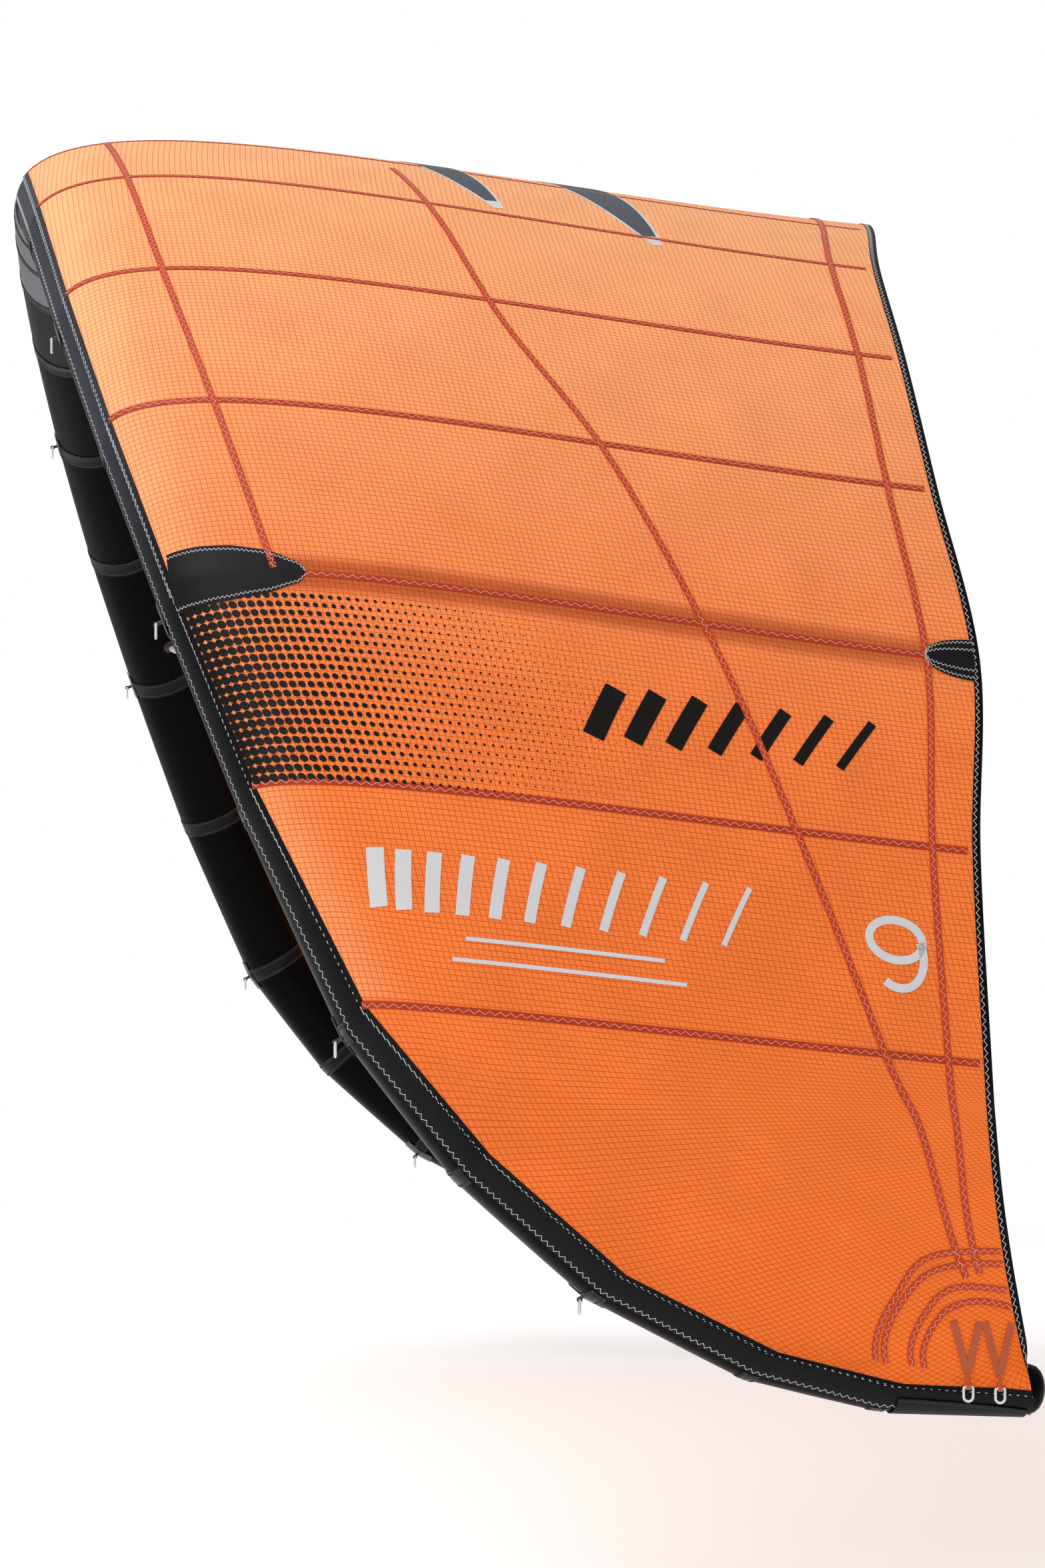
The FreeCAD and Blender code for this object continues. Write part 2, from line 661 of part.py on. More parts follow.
def valve_base():
    flange = down_cylinder(VALVE_FLANGE_RADIUS, SKIN - 8, SKIN + VALVE_FLANGE_HEIGHT)
    flange = flange.cut(tube_solid(-1, 1, 0.3))
    neck = down_cylinder(VALVE_NECK_RADIUS, SKIN - VALVE_DEPTH, SKIN + VALVE_NECK_HEIGHT)
    body = flange.fuse(neck)
    ear_depth = CAP_PIN_DEPTH
    for x in (-1, 1):
        ear = Part.makeBox(3, 7, ear_depth + 4 - SKIN,
                           V(VALVE_X + x * 7.5 - 1.5, CAP_PIN_REACH - 3.5, -ear_depth - 4))
        body = body.fuse(ear)
    body = body.cut(cross_pin(CAP_PIN_RADIUS + RUNNING_CLEARANCE, 40, CAP_PIN_REACH, CAP_PIN_DEPTH))
    return body.cut(down_cylinder(VALVE_BORE_RADIUS, SKIN - VALVE_DEPTH - 5, SKIN + VALVE_NECK_HEIGHT + 5))


def valve_cap():
    inner = VALVE_NECK_RADIUS + CAP_GAP
    top = CAP_TOP
    bottom = SKIN + VALVE_NECK_HEIGHT + CAP_GAP
    cup = down_cylinder(inner + CAP_WALL, top, bottom + CAP_WALL).cut(down_cylinder(inner, top - 1, bottom))
    tab = Part.makeBox(9, CAP_PIN_REACH - inner - 0.5, bottom + CAP_WALL - CAP_PIN_DEPTH,
                       V(VALVE_X - 4.5, inner + 0.5, -bottom - CAP_WALL))
    knuckle = Part.makeCylinder(3.4, 9, V(VALVE_X - 4.5, CAP_PIN_REACH, -CAP_PIN_DEPTH), V(1, 0, 0))
    pin = cross_pin(CAP_PIN_RADIUS, 18, CAP_PIN_REACH, CAP_PIN_DEPTH)
    grip = Part.makeBox(14, 7, 2.2, V(VALVE_X - 7, -inner - CAP_WALL - 6, -bottom - CAP_WALL))
    return cup.fuse(tab).fuse(knuckle).fuse(pin).fuse(grip)


# ------------------------------------------------------------------ hoses and clips

def hose_points(rib, side):
    """Route of an air hose: out of the leading edge, along, and into the strut's side."""
    place = rib - HOSE_SIDE / SEGMENT_LENGTHS[rib - 1] if rib else HOSE_SIDE / SEGMENT_LENGTHS[0]
    centre, radius, rearwards, outwards, tube = tube_station(place)
    turn = math.radians(HOSE_ANGLE)
    radial = outwards * math.cos(turn) + rearwards * math.sin(turn)
    start = centre + radial * (radius + 1.0)
    stations = strut_stations(rib, 0)
    axis, heading, inwards, strut_radius = stations[2]
    spanwise = unit(heading.cross(inwards))
    if spanwise.dot(start - axis) < 0:
        spanwise = spanwise * -1
    radial_end = unit(spanwise * 0.85 + inwards * 0.55)
    end = axis + radial_end * (strut_radius + 1.0)
    first = start + radial * 38
    last = end + radial_end * 38
    return [mirrored(point, side) for point in (start, first, last, end)]


def rounded_path(points):
    """Straight runs joined by tangent arcs."""
    edges = []
    at = points[0]
    for before, corner, after in zip(points, points[1:], points[2:]):
        into, out = unit(corner - before), unit(after - corner)
        turn = math.acos(max(-1.0, min(1.0, into.dot(out))))
        reach = 0.45 * min((corner - before).Length, (after - corner).Length)
        start, end = corner - into * reach, corner + out * reach
        bulge = unit(out - into)
        radius = reach / math.tan(turn / 2)
        middle = corner + bulge * (radius / math.cos(turn / 2) - radius)
        edges.append(Part.makeLine(at, start))
        edges.append(Part.Arc(start, middle, end).toShape())
        at = end
    edges.append(Part.makeLine(at, points[-1]))
    return Part.Wire(edges)


def hose(rib, side):
    points = hose_points(rib, side)
    path = rounded_path(points)
    tubes = []
    for radius in (HOSE_RADIUS, HOSE_RADIUS - HOSE_WALL):
        circle = Part.Wire([Part.makeCircle(radius, points[0], points[1] - points[0])])
        tubes.append(path.makePipeShell([circle], True, False))
    return tubes[0].cut(tubes[1])


def hose_collar(point, way, cutter):
    """A moulded collar round a hose's end, seated on the sleeve."""
    start = point - way * 14
    disc = Part.makeCylinder(HOSE_COLLAR_RADIUS, 14 + HOSE_COLLAR_HEIGHT, start, way)
    cone = Part.makeCone(HOSE_RADIUS + 4, HOSE_RADIUS + 1.8, 9, point + way * HOSE_COLLAR_HEIGHT, way)
    bore = Part.makeCylinder(HOSE_RADIUS + 0.3, 60, point - way * 20, way)
    return disc.fuse(cone).cut(bore).cut(cutter)


def hose_collars(rib, side):
    points = hose_points(rib, side)
    leading_cutter = strut_cutter(rib, side, 0.3) if rib else tube_solid(-1, 1, 0.3)
    at_tube = hose_collar(points[0], unit(points[1] - points[0]), leading_cutter)
    at_strut = hose_collar(points[3], unit(points[2] - points[3]), strut_solid(rib, side, -0.3, 14))
    return [at_tube, at_strut]


def clip_frame(rib, side):
    """Middle of the hose's straight run, its heading, and the clip's upward and sideways vectors."""
    points = hose_points(rib, side)
    heading = unit(points[2] - points[1])
    middle = (points[1] + points[2]) / 2.0
    upwards = across(V(0, 0, -1), heading)
    return middle, heading, upwards, upwards.cross(heading)


def clip_block(frame, low, high):
    """A box given by its corners along the clip's heading, sideways and upward vectors."""
    middle, heading, upwards, sideways = frame
    corners = []
    for along, aside in ((low[0], low[1]), (high[0], low[1]), (high[0], high[1]), (low[0], high[1])):
        corners.append(middle + heading * along + sideways * aside + upwards * low[2])
    face = Part.Face(Part.makePolygon(corners + corners[:1]))
    return face.extrude(upwards * (high[2] - low[2]))


CLIP_HALF = HOSE_RADIUS + CLIP_SIDE_GAP
LEVER_PIN = (-CLIP_LENGTH / 2.0 + 4, HOSE_RADIUS + LEVER_REST_GAP + LEVER_THICKNESS / 2.0)


def clip_pin(frame, radius, length):
    middle, heading, upwards, sideways = frame
    centre = middle + heading * LEVER_PIN[0] + upwards * LEVER_PIN[1]
    return Part.makeCylinder(radius, length, centre - sideways * (length / 2.0), sideways)


def clip_body(rib, side):
    frame = clip_frame(rib, side)
    half, outer = CLIP_LENGTH / 2.0, CLIP_HALF + CLIP_WALL
    top = LEVER_PIN[1] + 3
    base = clip_block(frame, (-half, -outer, -CLIP_HALF - CLIP_WALL), (half, outer, -HOSE_RADIUS - 0.4))
    body = base
    for low, high in ((-outer, -CLIP_HALF), (CLIP_HALF, outer)):
        body = body.fuse(clip_block(frame, (-half, low, -CLIP_HALF - CLIP_WALL), (half, high, top)))
    return body.cut(clip_pin(frame, LEVER_PIN_RADIUS + RUNNING_CLEARANCE, 60))


def clip_lever(rib, side):
    frame = clip_frame(rib, side)
    half = CLIP_HALF - 0.5
    low = HOSE_RADIUS + LEVER_REST_GAP
    heel = LEVER_PIN[0] - LEVER_HEEL
    lever = clip_block(frame, (heel, -half, low), (CLIP_LENGTH / 2.0 + 9, half, low + LEVER_THICKNESS))
    thumb = clip_block(frame, (CLIP_LENGTH / 2.0 + 5, -half, low), (CLIP_LENGTH / 2.0 + 9, half, low + 7))
    pin = clip_pin(frame, LEVER_PIN_RADIUS, 2 * (CLIP_HALF + CLIP_WALL))
    return lever.fuse(thumb).fuse(pin)


def valve_flap():
    """A soft disc that closes the neck's inner end; it turns on a pin at its rear edge."""
    disc = down_cylinder(VALVE_BORE_RADIUS + 0.4, FLAP_DEPTH - FLAP_THICKNESS, FLAP_DEPTH)
    flap = disc.cut(Part.makeBox(40, 20, 20, V(VALVE_X - 20, FLAP_EDGE, -FLAP_DEPTH - 10)))
    pin = V(VALVE_X - FLAP_PIN_LENGTH / 2, FLAP_EDGE, FLAP_THICKNESS / 2 - FLAP_DEPTH)
    return flap.fuse(Part.makeCylinder(FLAP_THICKNESS / 2, FLAP_PIN_LENGTH, pin, V(1, 0, 0)))


# ------------------------------------------------------------------ assembly

SIDES = (("right", 1), ("left", -1))


def holes_for_stems():
    """Cuts through the leading edge's sleeve and bladder for the valve."""
    return down_cylinder(VALVE_NECK_RADIUS + 0.3, SKIN - VALVE_DEPTH - 8, SKIN + 5)


def build_nodes():
    nodes = {}
    nodes["leading_edge_sleeve_middle"] = leading_sleeve(-GREY_JOINT, GREY_JOINT).cut(holes_for_stems())
    nodes["leading_edge_bladder"] = leading_bladder()
    nodes["canopy_panel_middle"] = middle_panel()
    nodes["strut_sleeve_middle"] = strut_sleeve(0, 1)
    for name, side in SIDES:
        joints = range(GREY_JOINT, LOWER_JOINT + 1)
        outer = loft([tube_wire(joint, side, 0) for joint in joints])
        inner = loft([tube_wire(joint, side, -SLEEVE_WALL) for joint in joints])
        nodes["leading_edge_sleeve_" + name] = outer.cut(inner)
        nodes["leading_edge_sleeve_tip_" + name] = tip_sleeve(side)
        for rib in range(1, LAST_RIB):
            nodes["canopy_panel_%d_%s" % (rib, name)] = canopy_panel((rib, rib + 1), side)
        nodes["canopy_panel_tip_" + name] = canopy_panel(range(LAST_RIB, TIP_JOINT + 1), side)
        nodes["leading_edge_tape_" + name] = leading_tape(side)
        nodes["trailing_edge_tape_" + name] = trailing_tape(side)
        nodes["strut_sleeve_" + name] = strut_sleeve(STRUT_JOINT, side)
        nodes["tip_pad_" + name] = tip_pad(side)
        nodes["tip_webbing_" + name] = tip_webbing(side)
        for joint in BRIDLE_JOINTS:
            hook = bridle_hook(joint, side)
            nodes["bridle_loop_%d_%s" % (joint, name)] = line_loop(hook, V(1, 0, 0))
        for label, place in zip(("front", "rear"), STEERING_STATIONS):
            nodes["steering_loop_%s_%s" % (label, name)] = line_loop(steering_hook(place, side), V(0, 1, 0))
    joints = range(1, TIP_JOINT)
    bands = [joint_band(joint, side) for joint in joints for _, side in SIDES]
    nodes["joint_bands"] = Part.makeCompound(bands)
    nodes["bridle_patches"] = Part.makeCompound(
        [bridle_patch(joint, side) for joint in BRIDLE_JOINTS for _, side in SIDES])
    struts = ((0, 1), (STRUT_JOINT, 1), (STRUT_JOINT, -1))
    for name, outline in (("strut_nose_patches", NOSE_PATCH), ("strut_tail_patches", TAIL_PATCH)):
        nodes[name] = Part.makeCompound([ridge_patch(rib, side, outline) for rib, side in struts])
    nodes["strut_bladders"] = Part.makeCompound([strut_bladder(rib, side) for rib, side in struts])
    nodes["air_hoses"] = Part.makeCompound([hose(rib, side) for rib, side in struts])
    collars = [collar for rib, side in struts for collar in hose_collars(rib, side)]
    nodes["hose_collars"] = Part.makeCompound(collars)
    nodes["pinch_clip_bodies"] = Part.makeCompound([clip_body(rib, side) for rib, side in struts])
    for label, (rib, side) in zip(("middle", "right", "left"), struts):
        nodes["pinch_clip_lever_" + label] = clip_lever(rib, side)
    nodes["valve_base"] = valve_base()
    nodes["valve_cap"] = valve_cap()
    nodes["valve_flap"] = valve_flap()
    return nodes


def main():
    os.makedirs("parts", exist_ok=True)
    for name, shape in build_nodes().items():
        if not shape.isValid():
            print("not valid:", name)
        shape.exportStep(os.path.join("parts", name + ".step"))


main()
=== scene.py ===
import math
import bpy
import bmesh
import numpy as np
from mathutils import Matrix, Vector


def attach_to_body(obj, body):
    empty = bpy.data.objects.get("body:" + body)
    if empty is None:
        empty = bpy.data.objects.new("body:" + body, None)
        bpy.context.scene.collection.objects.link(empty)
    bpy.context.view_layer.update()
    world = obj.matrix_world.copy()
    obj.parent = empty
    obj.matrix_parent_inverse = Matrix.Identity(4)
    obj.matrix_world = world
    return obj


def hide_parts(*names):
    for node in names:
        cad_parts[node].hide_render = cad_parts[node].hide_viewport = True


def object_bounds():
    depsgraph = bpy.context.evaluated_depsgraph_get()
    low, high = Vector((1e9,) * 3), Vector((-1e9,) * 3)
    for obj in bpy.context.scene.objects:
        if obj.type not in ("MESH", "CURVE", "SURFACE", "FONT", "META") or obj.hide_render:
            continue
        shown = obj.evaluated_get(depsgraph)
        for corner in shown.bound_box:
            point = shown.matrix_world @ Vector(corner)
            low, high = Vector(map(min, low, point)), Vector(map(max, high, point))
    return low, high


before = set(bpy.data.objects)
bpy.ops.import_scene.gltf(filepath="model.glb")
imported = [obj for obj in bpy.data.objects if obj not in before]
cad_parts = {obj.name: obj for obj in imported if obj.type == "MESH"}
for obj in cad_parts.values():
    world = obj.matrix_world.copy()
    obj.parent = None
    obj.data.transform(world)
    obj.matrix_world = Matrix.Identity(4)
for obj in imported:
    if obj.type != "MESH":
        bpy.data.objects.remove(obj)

# The looks of the kitesurf kite, built round its CAD frame.  The shape functions work in millimetres, in the
# frame's axes, on the right half of the span; meshes are made in metres, and the left half is mirrored.

CAD_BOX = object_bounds()
MM = 0.001

# ---- driving sizes, the same as the part's ----
SEGMENT_LENGTHS = [180, 360, 365, 360, 370, 375, 400, 405, 290, 300, 300, 230, 270]
FRONT_ANGLES = [0, 5, 17, 33, 43, 54.5, 65, 76, 85.5, 103, 109, 114, 129]
SWEEP_ANGLES = [0, 0.7, 3.8, 8, 11.5, 15.5, 18.5, 23, 37, 46.5, 59.5, 72.5, 85]
TUBE_RADII = np.array([94, 93, 91, 89, 86, 83, 80, 78, 74, 70, 64, 57, 50, 44], float)
TIP_JOINT, STRUT_JOINT, LAST_RIB, GREY_JOINT, SPLIT_JOINT, LOWER_JOINT = 13, 6, 8, 2, 5, 8
CHORDS = [1676, 1668, 1622, 1552, 1500, 1440, 1380, 1220, 1065]
TWIST_ANGLES = [0, 0, -1, -1.7, -2.2, -3, -4, -3.7, -4]
TAIL_DROPS = [0, 0, 0, 0, 8, 24, 50, 64, 80]
ATTACH_ANGLES = [50, 52, 54, 56, 57, 57, 56, 49, 33, 12, -4, -16, -24, -28]
TIP_TAIL_SHARES = [0.20, 0.42, 0.64, 0.84]
TIP_TAIL_HEIGHT, TIP_TAIL_ASIDE, TIP_TAIL_HOLLOW = 42, 31, 12
TAIL_SLOPES = [4.5] * 9 + [5, 6, 8, 20, 85]
NOSE_HANDLE, NOSE_WRAP, TAIL_HANDLE = 0.137, 0.4, 0.465
NOSE_GAPS = [2.6] * 8 + [4.4] * 6
CAD_CLOTH, LAYER_GAP = 1.6, 1.2
HEM_OUT, HEM_IN = 12, 4
LEADING_TAPE_WIDTH = 46
BAND_HALVES = (23, 15)
STRUT_RADII = {0: (56, 34), STRUT_JOINT: (48, 30)}
STRUTS = (("middle", 0, 1), ("right", STRUT_JOINT, 1), ("left", STRUT_JOINT, -1))
SIDES = (("right", 1), ("left", -1))

# ---- cloth, stitches and prints ----
CANOPY_THICK = 0.8
# painted highlight: how far the canopy colour is paled towards the highlight colour, by place along the span
CROWN_HIGHLIGHT = ((0, 0.95), (2, 0.90), (4.5, 0.58), (5.5, 0.38), (6.5, 0.16), (7.5, 0.12), (13, 0.02))
SEAM_WIDTH, SEAM_PERIOD, SEAM_SWING = 13, 18, 3.2
TAPE_WIDTH, ARC_WIDTH = 12, 10
HEM_PERIOD, HEM_SWING = 14, 3.4
THREAD = (1.2, 0.6)    # width and height
PATCH_STITCH = (8, 2.2)    # period and swing
TAPE_THICK, TAPE_LIFT = 0.8, 1.9
TUBE_STEPS, STRUT_STEPS = 24, 90


# ------------------------------------------------------------------ wing shape

def unit(vectors):
    return vectors / np.linalg.norm(vectors, axis=-1, keepdims=True)


def across(vectors, directions):
    return unit(vectors - directions * (vectors * directions).sum(-1, keepdims=True))


def smoothstep(values, low, high):
    share = np.clip((values - low) / (high - low), 0, 1)
    return share * share * (3 - 2 * share)


def segment_directions():
    front, sweep = np.radians(FRONT_ANGLES), np.radians(SWEEP_ANGLES)
    return np.stack([np.cos(sweep) * np.cos(front), np.sin(sweep), -np.cos(sweep) * np.sin(front)], -1)


DIRECTIONS = segment_directions()
JOINTS = np.vstack([np.zeros(3), np.cumsum(DIRECTIONS * np.array(SEGMENT_LENGTHS)[:, None], axis=0)])
MITRES = np.vstack([[1, 0, 0], unit(DIRECTIONS[:-1] + DIRECTIONS[1:]), DIRECTIONS[-1:]])


def tail_points():
    tails = []
    for rib in range(LAST_RIB + 1):
        front = math.radians(np.mean(FRONT_ANGLES[max(rib - 1, 0):rib + 1]) if rib else 0)
        twist = math.radians(TWIST_ANGLES[rib])
        outwards = np.array([math.sin(front), 0, math.cos(front)])
        along = np.array([math.cos(front), 0, -math.sin(front)])
        offset = np.array([0, math.cos(twist), 0]) + outwards * math.sin(twist)
        tails.append(JOINTS[rib] + offset * (CHORDS[rib] - HEM_OUT) + along * TAIL_DROPS[rib])
    corner = JOINTS[TIP_JOINT] + [TIP_TAIL_ASIDE, -HEM_OUT, TIP_TAIL_HEIGHT]
    first = tails[LAST_RIB]
    for share in TIP_TAIL_SHARES:
        hollow = np.array([0, TIP_TAIL_HOLLOW * math.sin(math.pi * share), 0])
        tails.append(first * (1 - share) + corner * share - hollow)
    return np.array(tails + [corner])


TAILS = tail_points()


def rib_frame(rib):
    chordwise = unit(TAILS[rib] - JOINTS[rib])
    return chordwise, unit(np.cross(MITRES[rib], chordwise)), MITRES[rib]


def rib_poles(rib, lift=0.0):
    chordwise, outwards, tube = rib_frame(rib)
    attach, slope = math.radians(ATTACH_ANGLES[rib]), math.radians(TAIL_SLOPES[rib])
    radial = outwards * math.cos(attach) - chordwise * math.sin(attach)
    reach = (TUBE_RADII[rib] + NOSE_GAPS[rib] + CAD_CLOTH + lift) / math.sqrt(1 - radial.dot(tube) ** 2)
    nose = JOINTS[rib] + radial * reach
    heading = chordwise * math.cos(attach) + outwards * math.sin(attach)
    chord = np.linalg.norm(TAILS[rib] - JOINTS[rib])
    tail = TAILS[rib] + outwards * lift
    back = outwards * math.sin(slope) - chordwise * math.cos(slope)
    handle = max(chord * NOSE_HANDLE, TUBE_RADII[rib] * NOSE_WRAP)
    return np.array([nose, nose + heading * handle, tail + back * chord * TAIL_HANDLE, tail])


POLES = np.array([rib_poles(rib) for rib in range(TIP_JOINT + 1)])


def bernstein(at):
    rest = 1 - at
    return np.stack([rest ** 3, 3 * at * rest ** 2, 3 * at ** 2 * rest, at ** 3], -1)


def rib_curve(rib, at):
    """Points of the ribs at chord parameters; negative ribs are on the left."""
    points = (bernstein(at)[..., None] * POLES[np.minimum(np.abs(rib), TIP_JOINT)]).sum(-2)
    points[..., 0] *= np.where(rib < 0, -1, 1)
    return points


def surface(place, at):
    """The canopy's outer face: straight between joints at the tube, smooth from rib to rib behind it."""
    place, at = np.broadcast_arrays(np.asarray(place, float), np.asarray(at, float))
    rib = np.clip(np.floor(place).astype(int), -2, TIP_JOINT - 1)
    share = (place - rib)[..., None]
    before, start, end, after = (rib_curve(rib + step, at) for step in (-1, 0, 1, 2))
    ruled = start * (1 - share) + end * share
    bent = 0.5 * (2 * start + (end - before) * share + (2 * before - 5 * start + 4 * end - after) * share ** 2
                  + (3 * start - before - 3 * end + after) * share ** 3)
    weight = smoothstep(at, 0.04, 0.3)[..., None] * smoothstep(TIP_JOINT - place, 0.2, 1.4)[..., None]
    return ruled + (bent - ruled) * weight


def partials(place, at):
    step = 1e-3
    along = (surface(place + step, at) - surface(place - step, at)) / (2 * step)
    chordwise = (surface(place, at + step) - surface(place, at - step)) / (2 * step)
    return along, chordwise


def lifted(place, at, lift):
    along, chordwise = partials(place, at)
    return surface(place, at) + unit(np.cross(along, chordwise)) * lift


def nearest_share(place, at, offsets):
    """Moves (place, at) by offsets in millimetres along the span and along the chord."""
    along, chordwise = partials(place, at)
    spanwise = offsets[0] / np.linalg.norm(along, axis=-1)
    return place + spanwise, at + offsets[1] / np.linalg.norm(chordwise, axis=-1)


def skin(place, angle, lift=0.0):
    """Points on the tube's skin; the angle, in degrees, is forward of its outer side."""
    place, angle, lift = np.broadcast_arrays(*(np.asarray(value, float) for value in (place, angle, lift)))
    mirror = np.where(place < 0, -1, 1)[..., None] * np.array([1, 0, 0]) + np.array([0, 1, 1])
    place = np.abs(place)
    joint = np.clip(np.floor(place + 1e-9).astype(int), 0, TIP_JOINT - 1)
    share = (place - joint)[..., None]
    normal = unit(MITRES[joint] * (1 - share) + MITRES[joint + 1] * share)
    centre = JOINTS[joint] * (1 - share) + JOINTS[joint + 1] * share
    radius = TUBE_RADII[joint] * (1 - share[..., 0]) + TUBE_RADII[joint + 1] * share[..., 0]
    rearwards = across((TAILS - JOINTS)[joint] * (1 - share) + (TAILS - JOINTS)[joint + 1] * share, normal)
    outwards = unit(np.cross(normal, rearwards))
    turn = np.radians(angle)[..., None]
    radial = outwards * np.cos(turn) - rearwards * np.sin(turn)
    leaning = np.sqrt(1 - (radial * DIRECTIONS[joint]).sum(-1) ** 2)
    return (centre + radial * ((radius + lift) / leaning)[..., None]) * mirror


def attach_angle(place):
    """The canopy's front edge, as an angle round the tube."""
    angles = []
    for rib in range(TIP_JOINT + 1):
        chordwise, _, tube = rib_frame(rib)
        leaning = math.sqrt(1 - chordwise.dot(tube) ** 2)
        angles.append(math.degrees(math.atan(math.tan(math.radians(ATTACH_ANGLES[rib])) * leaning)))
    return np.interp(place, range(TIP_JOINT + 1), angles)


def tube_degrees(place, width):
    return np.degrees(width / np.interp(place, range(TIP_JOINT + 1), TUBE_RADII))


# ------------------------------------------------------------------ meshes

class Soup:
    """Closed thin shells, gathered into one mesh with cloth coordinates in millimetres."""

    def __init__(self):
        self.points, self.faces, self.cloth, self.tints = [], [], [], []
        self.count = 0

    def shell(self, outer, inner, wrap=False, tint=None):
        rows, columns = outer.shape[:2]
        index = np.arange(rows * columns).reshape(rows, columns) + self.count
        under = index + rows * columns
        if wrap:
            index = np.hstack([index, index[:, :1]])
            under = np.hstack([under, under[:, :1]])
        top = [index[:-1, :-1], index[1:, :-1], index[1:, 1:], index[:-1, 1:]]
        bottom = [under[:-1, :-1], under[:-1, 1:], under[1:, 1:], under[1:, :-1]]
        walls = [(index[0, :-1], index[0, 1:], under[0, 1:], under[0, :-1]),
                 (index[-1, 1:], index[-1, :-1], under[-1, :-1], under[-1, 1:])]
        if not wrap:
            walls += [(index[1:, 0], index[:-1, 0], under[:-1, 0], under[1:, 0]),
                      (index[:-1, -1], index[1:, -1], under[1:, -1], under[:-1, -1])]
        for corners in [top, bottom] + walls:
            self.faces.append(np.stack([corner.ravel() for corner in corners], -1))
        length = np.linalg.norm(np.diff(outer, axis=0), axis=-1)
        width = np.linalg.norm(np.diff(outer, axis=1), axis=-1)
        length = np.vstack([np.zeros((1, columns)), np.cumsum(length, 0)]).mean(1, keepdims=True)
        width = np.hstack([np.zeros((rows, 1)), np.cumsum(width, 1)])
        cloth = np.stack(np.broadcast_arrays(width - width[:, -1:] / 2, length, 0 * width), -1)
        if tint is None:
            tint = np.ones((rows, columns, 4))
        for grid in (outer, inner):
            self.points.append(grid.reshape(-1, 3))
            self.cloth.append(cloth.reshape(-1, 3))
            self.tints.append(tint.reshape(-1, 4))
        self.count += 2 * rows * columns

    def sheet(self, grid, thick, wrap=False, tint=None):
        """A shell whose inner face lies thick below the grid."""
        self.shell(grid, grid - grid_normals(grid, wrap) * thick, wrap, tint)

    def thread(self, points, normals):
        tangents = unit(np.gradient(points, axis=0))
        aside = unit(np.cross(tangents, normals)) * THREAD[0] / 2
        top = normals * THREAD[1]
        self.shell(np.stack([points + aside + top, points - aside + top], 1),
                   np.stack([points + aside, points - aside], 1))

    def make(self, name, side, finish, slot, replaces=(), body="kite"):
        mesh = bpy.data.meshes.new(name)
        points = np.vstack(self.points) * [side * MM, MM, MM]
        faces = np.vstack(self.faces)
        if side < 0:
            faces = faces[:, ::-1]
        mesh.from_pydata(points.tolist(), [], faces.tolist())
        for layer, kind, key, values in (("cloth", "FLOAT_VECTOR", "vector", self.cloth),
                                         ("tint", "FLOAT_COLOR", "color", self.tints)):
            mesh.attributes.new(layer, kind, "POINT").data.foreach_set(key, np.vstack(values).ravel())
        mesh.polygons.foreach_set("use_smooth", [True] * len(mesh.polygons))
        work = bmesh.new()
        work.from_mesh(mesh)
        bmesh.ops.recalc_face_normals(work, faces=work.faces)
        work.to_mesh(mesh)
        work.free()
        mesh.set_sharp_from_angle(angle=math.radians(50))
        mesh.materials.append(finish)
        piece = bpy.data.objects.new(name, mesh)
        bpy.context.scene.collection.objects.link(piece)
        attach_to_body(piece, body)
        if replaces:
            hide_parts(*replaces)
        return piece


def grid_normals(grid, wrap=False):
    if wrap:
        padded = np.hstack([grid[:, -1:], grid, grid[:, :1]])
        return unit(np.cross(np.gradient(padded, axis=1), np.gradient(padded, axis=0)))[:, 1:-1]
    return unit(np.cross(np.gradient(grid, axis=1), np.gradient(grid, axis=0)))


def on_grid(grid, row, column):
    """Values of a grid between its rows and columns."""
    i = np.clip(np.floor(row).astype(int), 0, grid.shape[0] - 2)
    j = np.clip(np.floor(column).astype(int), 0, grid.shape[1] - 2)
    a, b = (row - i)[:, None], (column - j)[:, None]
    first = grid[i, j] * (1 - b) + grid[i, j + 1] * b
    second = grid[i + 1, j] * (1 - b) + grid[i + 1, j + 1] * b
    return first * (1 - a) + second * a


def zigzag(soup, grid, share, period, swing):
    """A zigzag stitch along a strip's grid, at a share of its width."""
    rows, columns = grid.shape[:2]
    middle = on_grid(grid, np.arange(rows, dtype=float), np.full(rows, share * (columns - 1.0)))
    length = np.concatenate([[0], np.cumsum(np.linalg.norm(np.diff(middle, axis=0), axis=-1))])
    count = max(int(length[-1] * 2 / period), 2)
    row = np.interp(np.linspace(0, length[-1], count + 1), length, np.arange(rows))
    widths = np.linalg.norm(grid[:, -1] - grid[:, 0], axis=-1)
    swings = swing / np.maximum(np.interp(row, np.arange(rows), widths), 2 * swing)
    turns = np.where(np.arange(count + 1) % 2, 1, -1)
    column = np.clip((share + swings * turns) * (columns - 1), 0, columns - 1)
    soup.thread(on_grid(grid, row, column), unit(on_grid(grid_normals(grid), row, column)))


def ribbon(places, ats, width, lift, columns=5):
    """A strip's grid on the canopy, along a route of places and chord parameters."""
    places, ats = np.asarray(places, float), np.asarray(ats, float)
    along, chordwise = partials(places, ats)
    heading = unit(np.gradient(surface(places, ats), axis=0))
    aside = unit(np.cross(heading, unit(np.cross(along, chordwise))))
    axes = (along, chordwise)
    gram = np.stack([np.stack([(a * b).sum(-1) for a in axes], -1) for b in axes], -1)
    target = np.stack([(aside * axis).sum(-1) for axis in axes], -1)
    shift = np.linalg.solve(gram, target[..., None])[..., 0]
    offsets = np.linspace(-0.5, 0.5, columns)[None] * np.broadcast_to(width, places.shape)[:, None]
    beside = np.clip(ats[:, None] + shift[:, 1:] * offsets, 0, 1)
    return lifted(places[:, None] + shift[:, :1] * offsets, beside, lift)


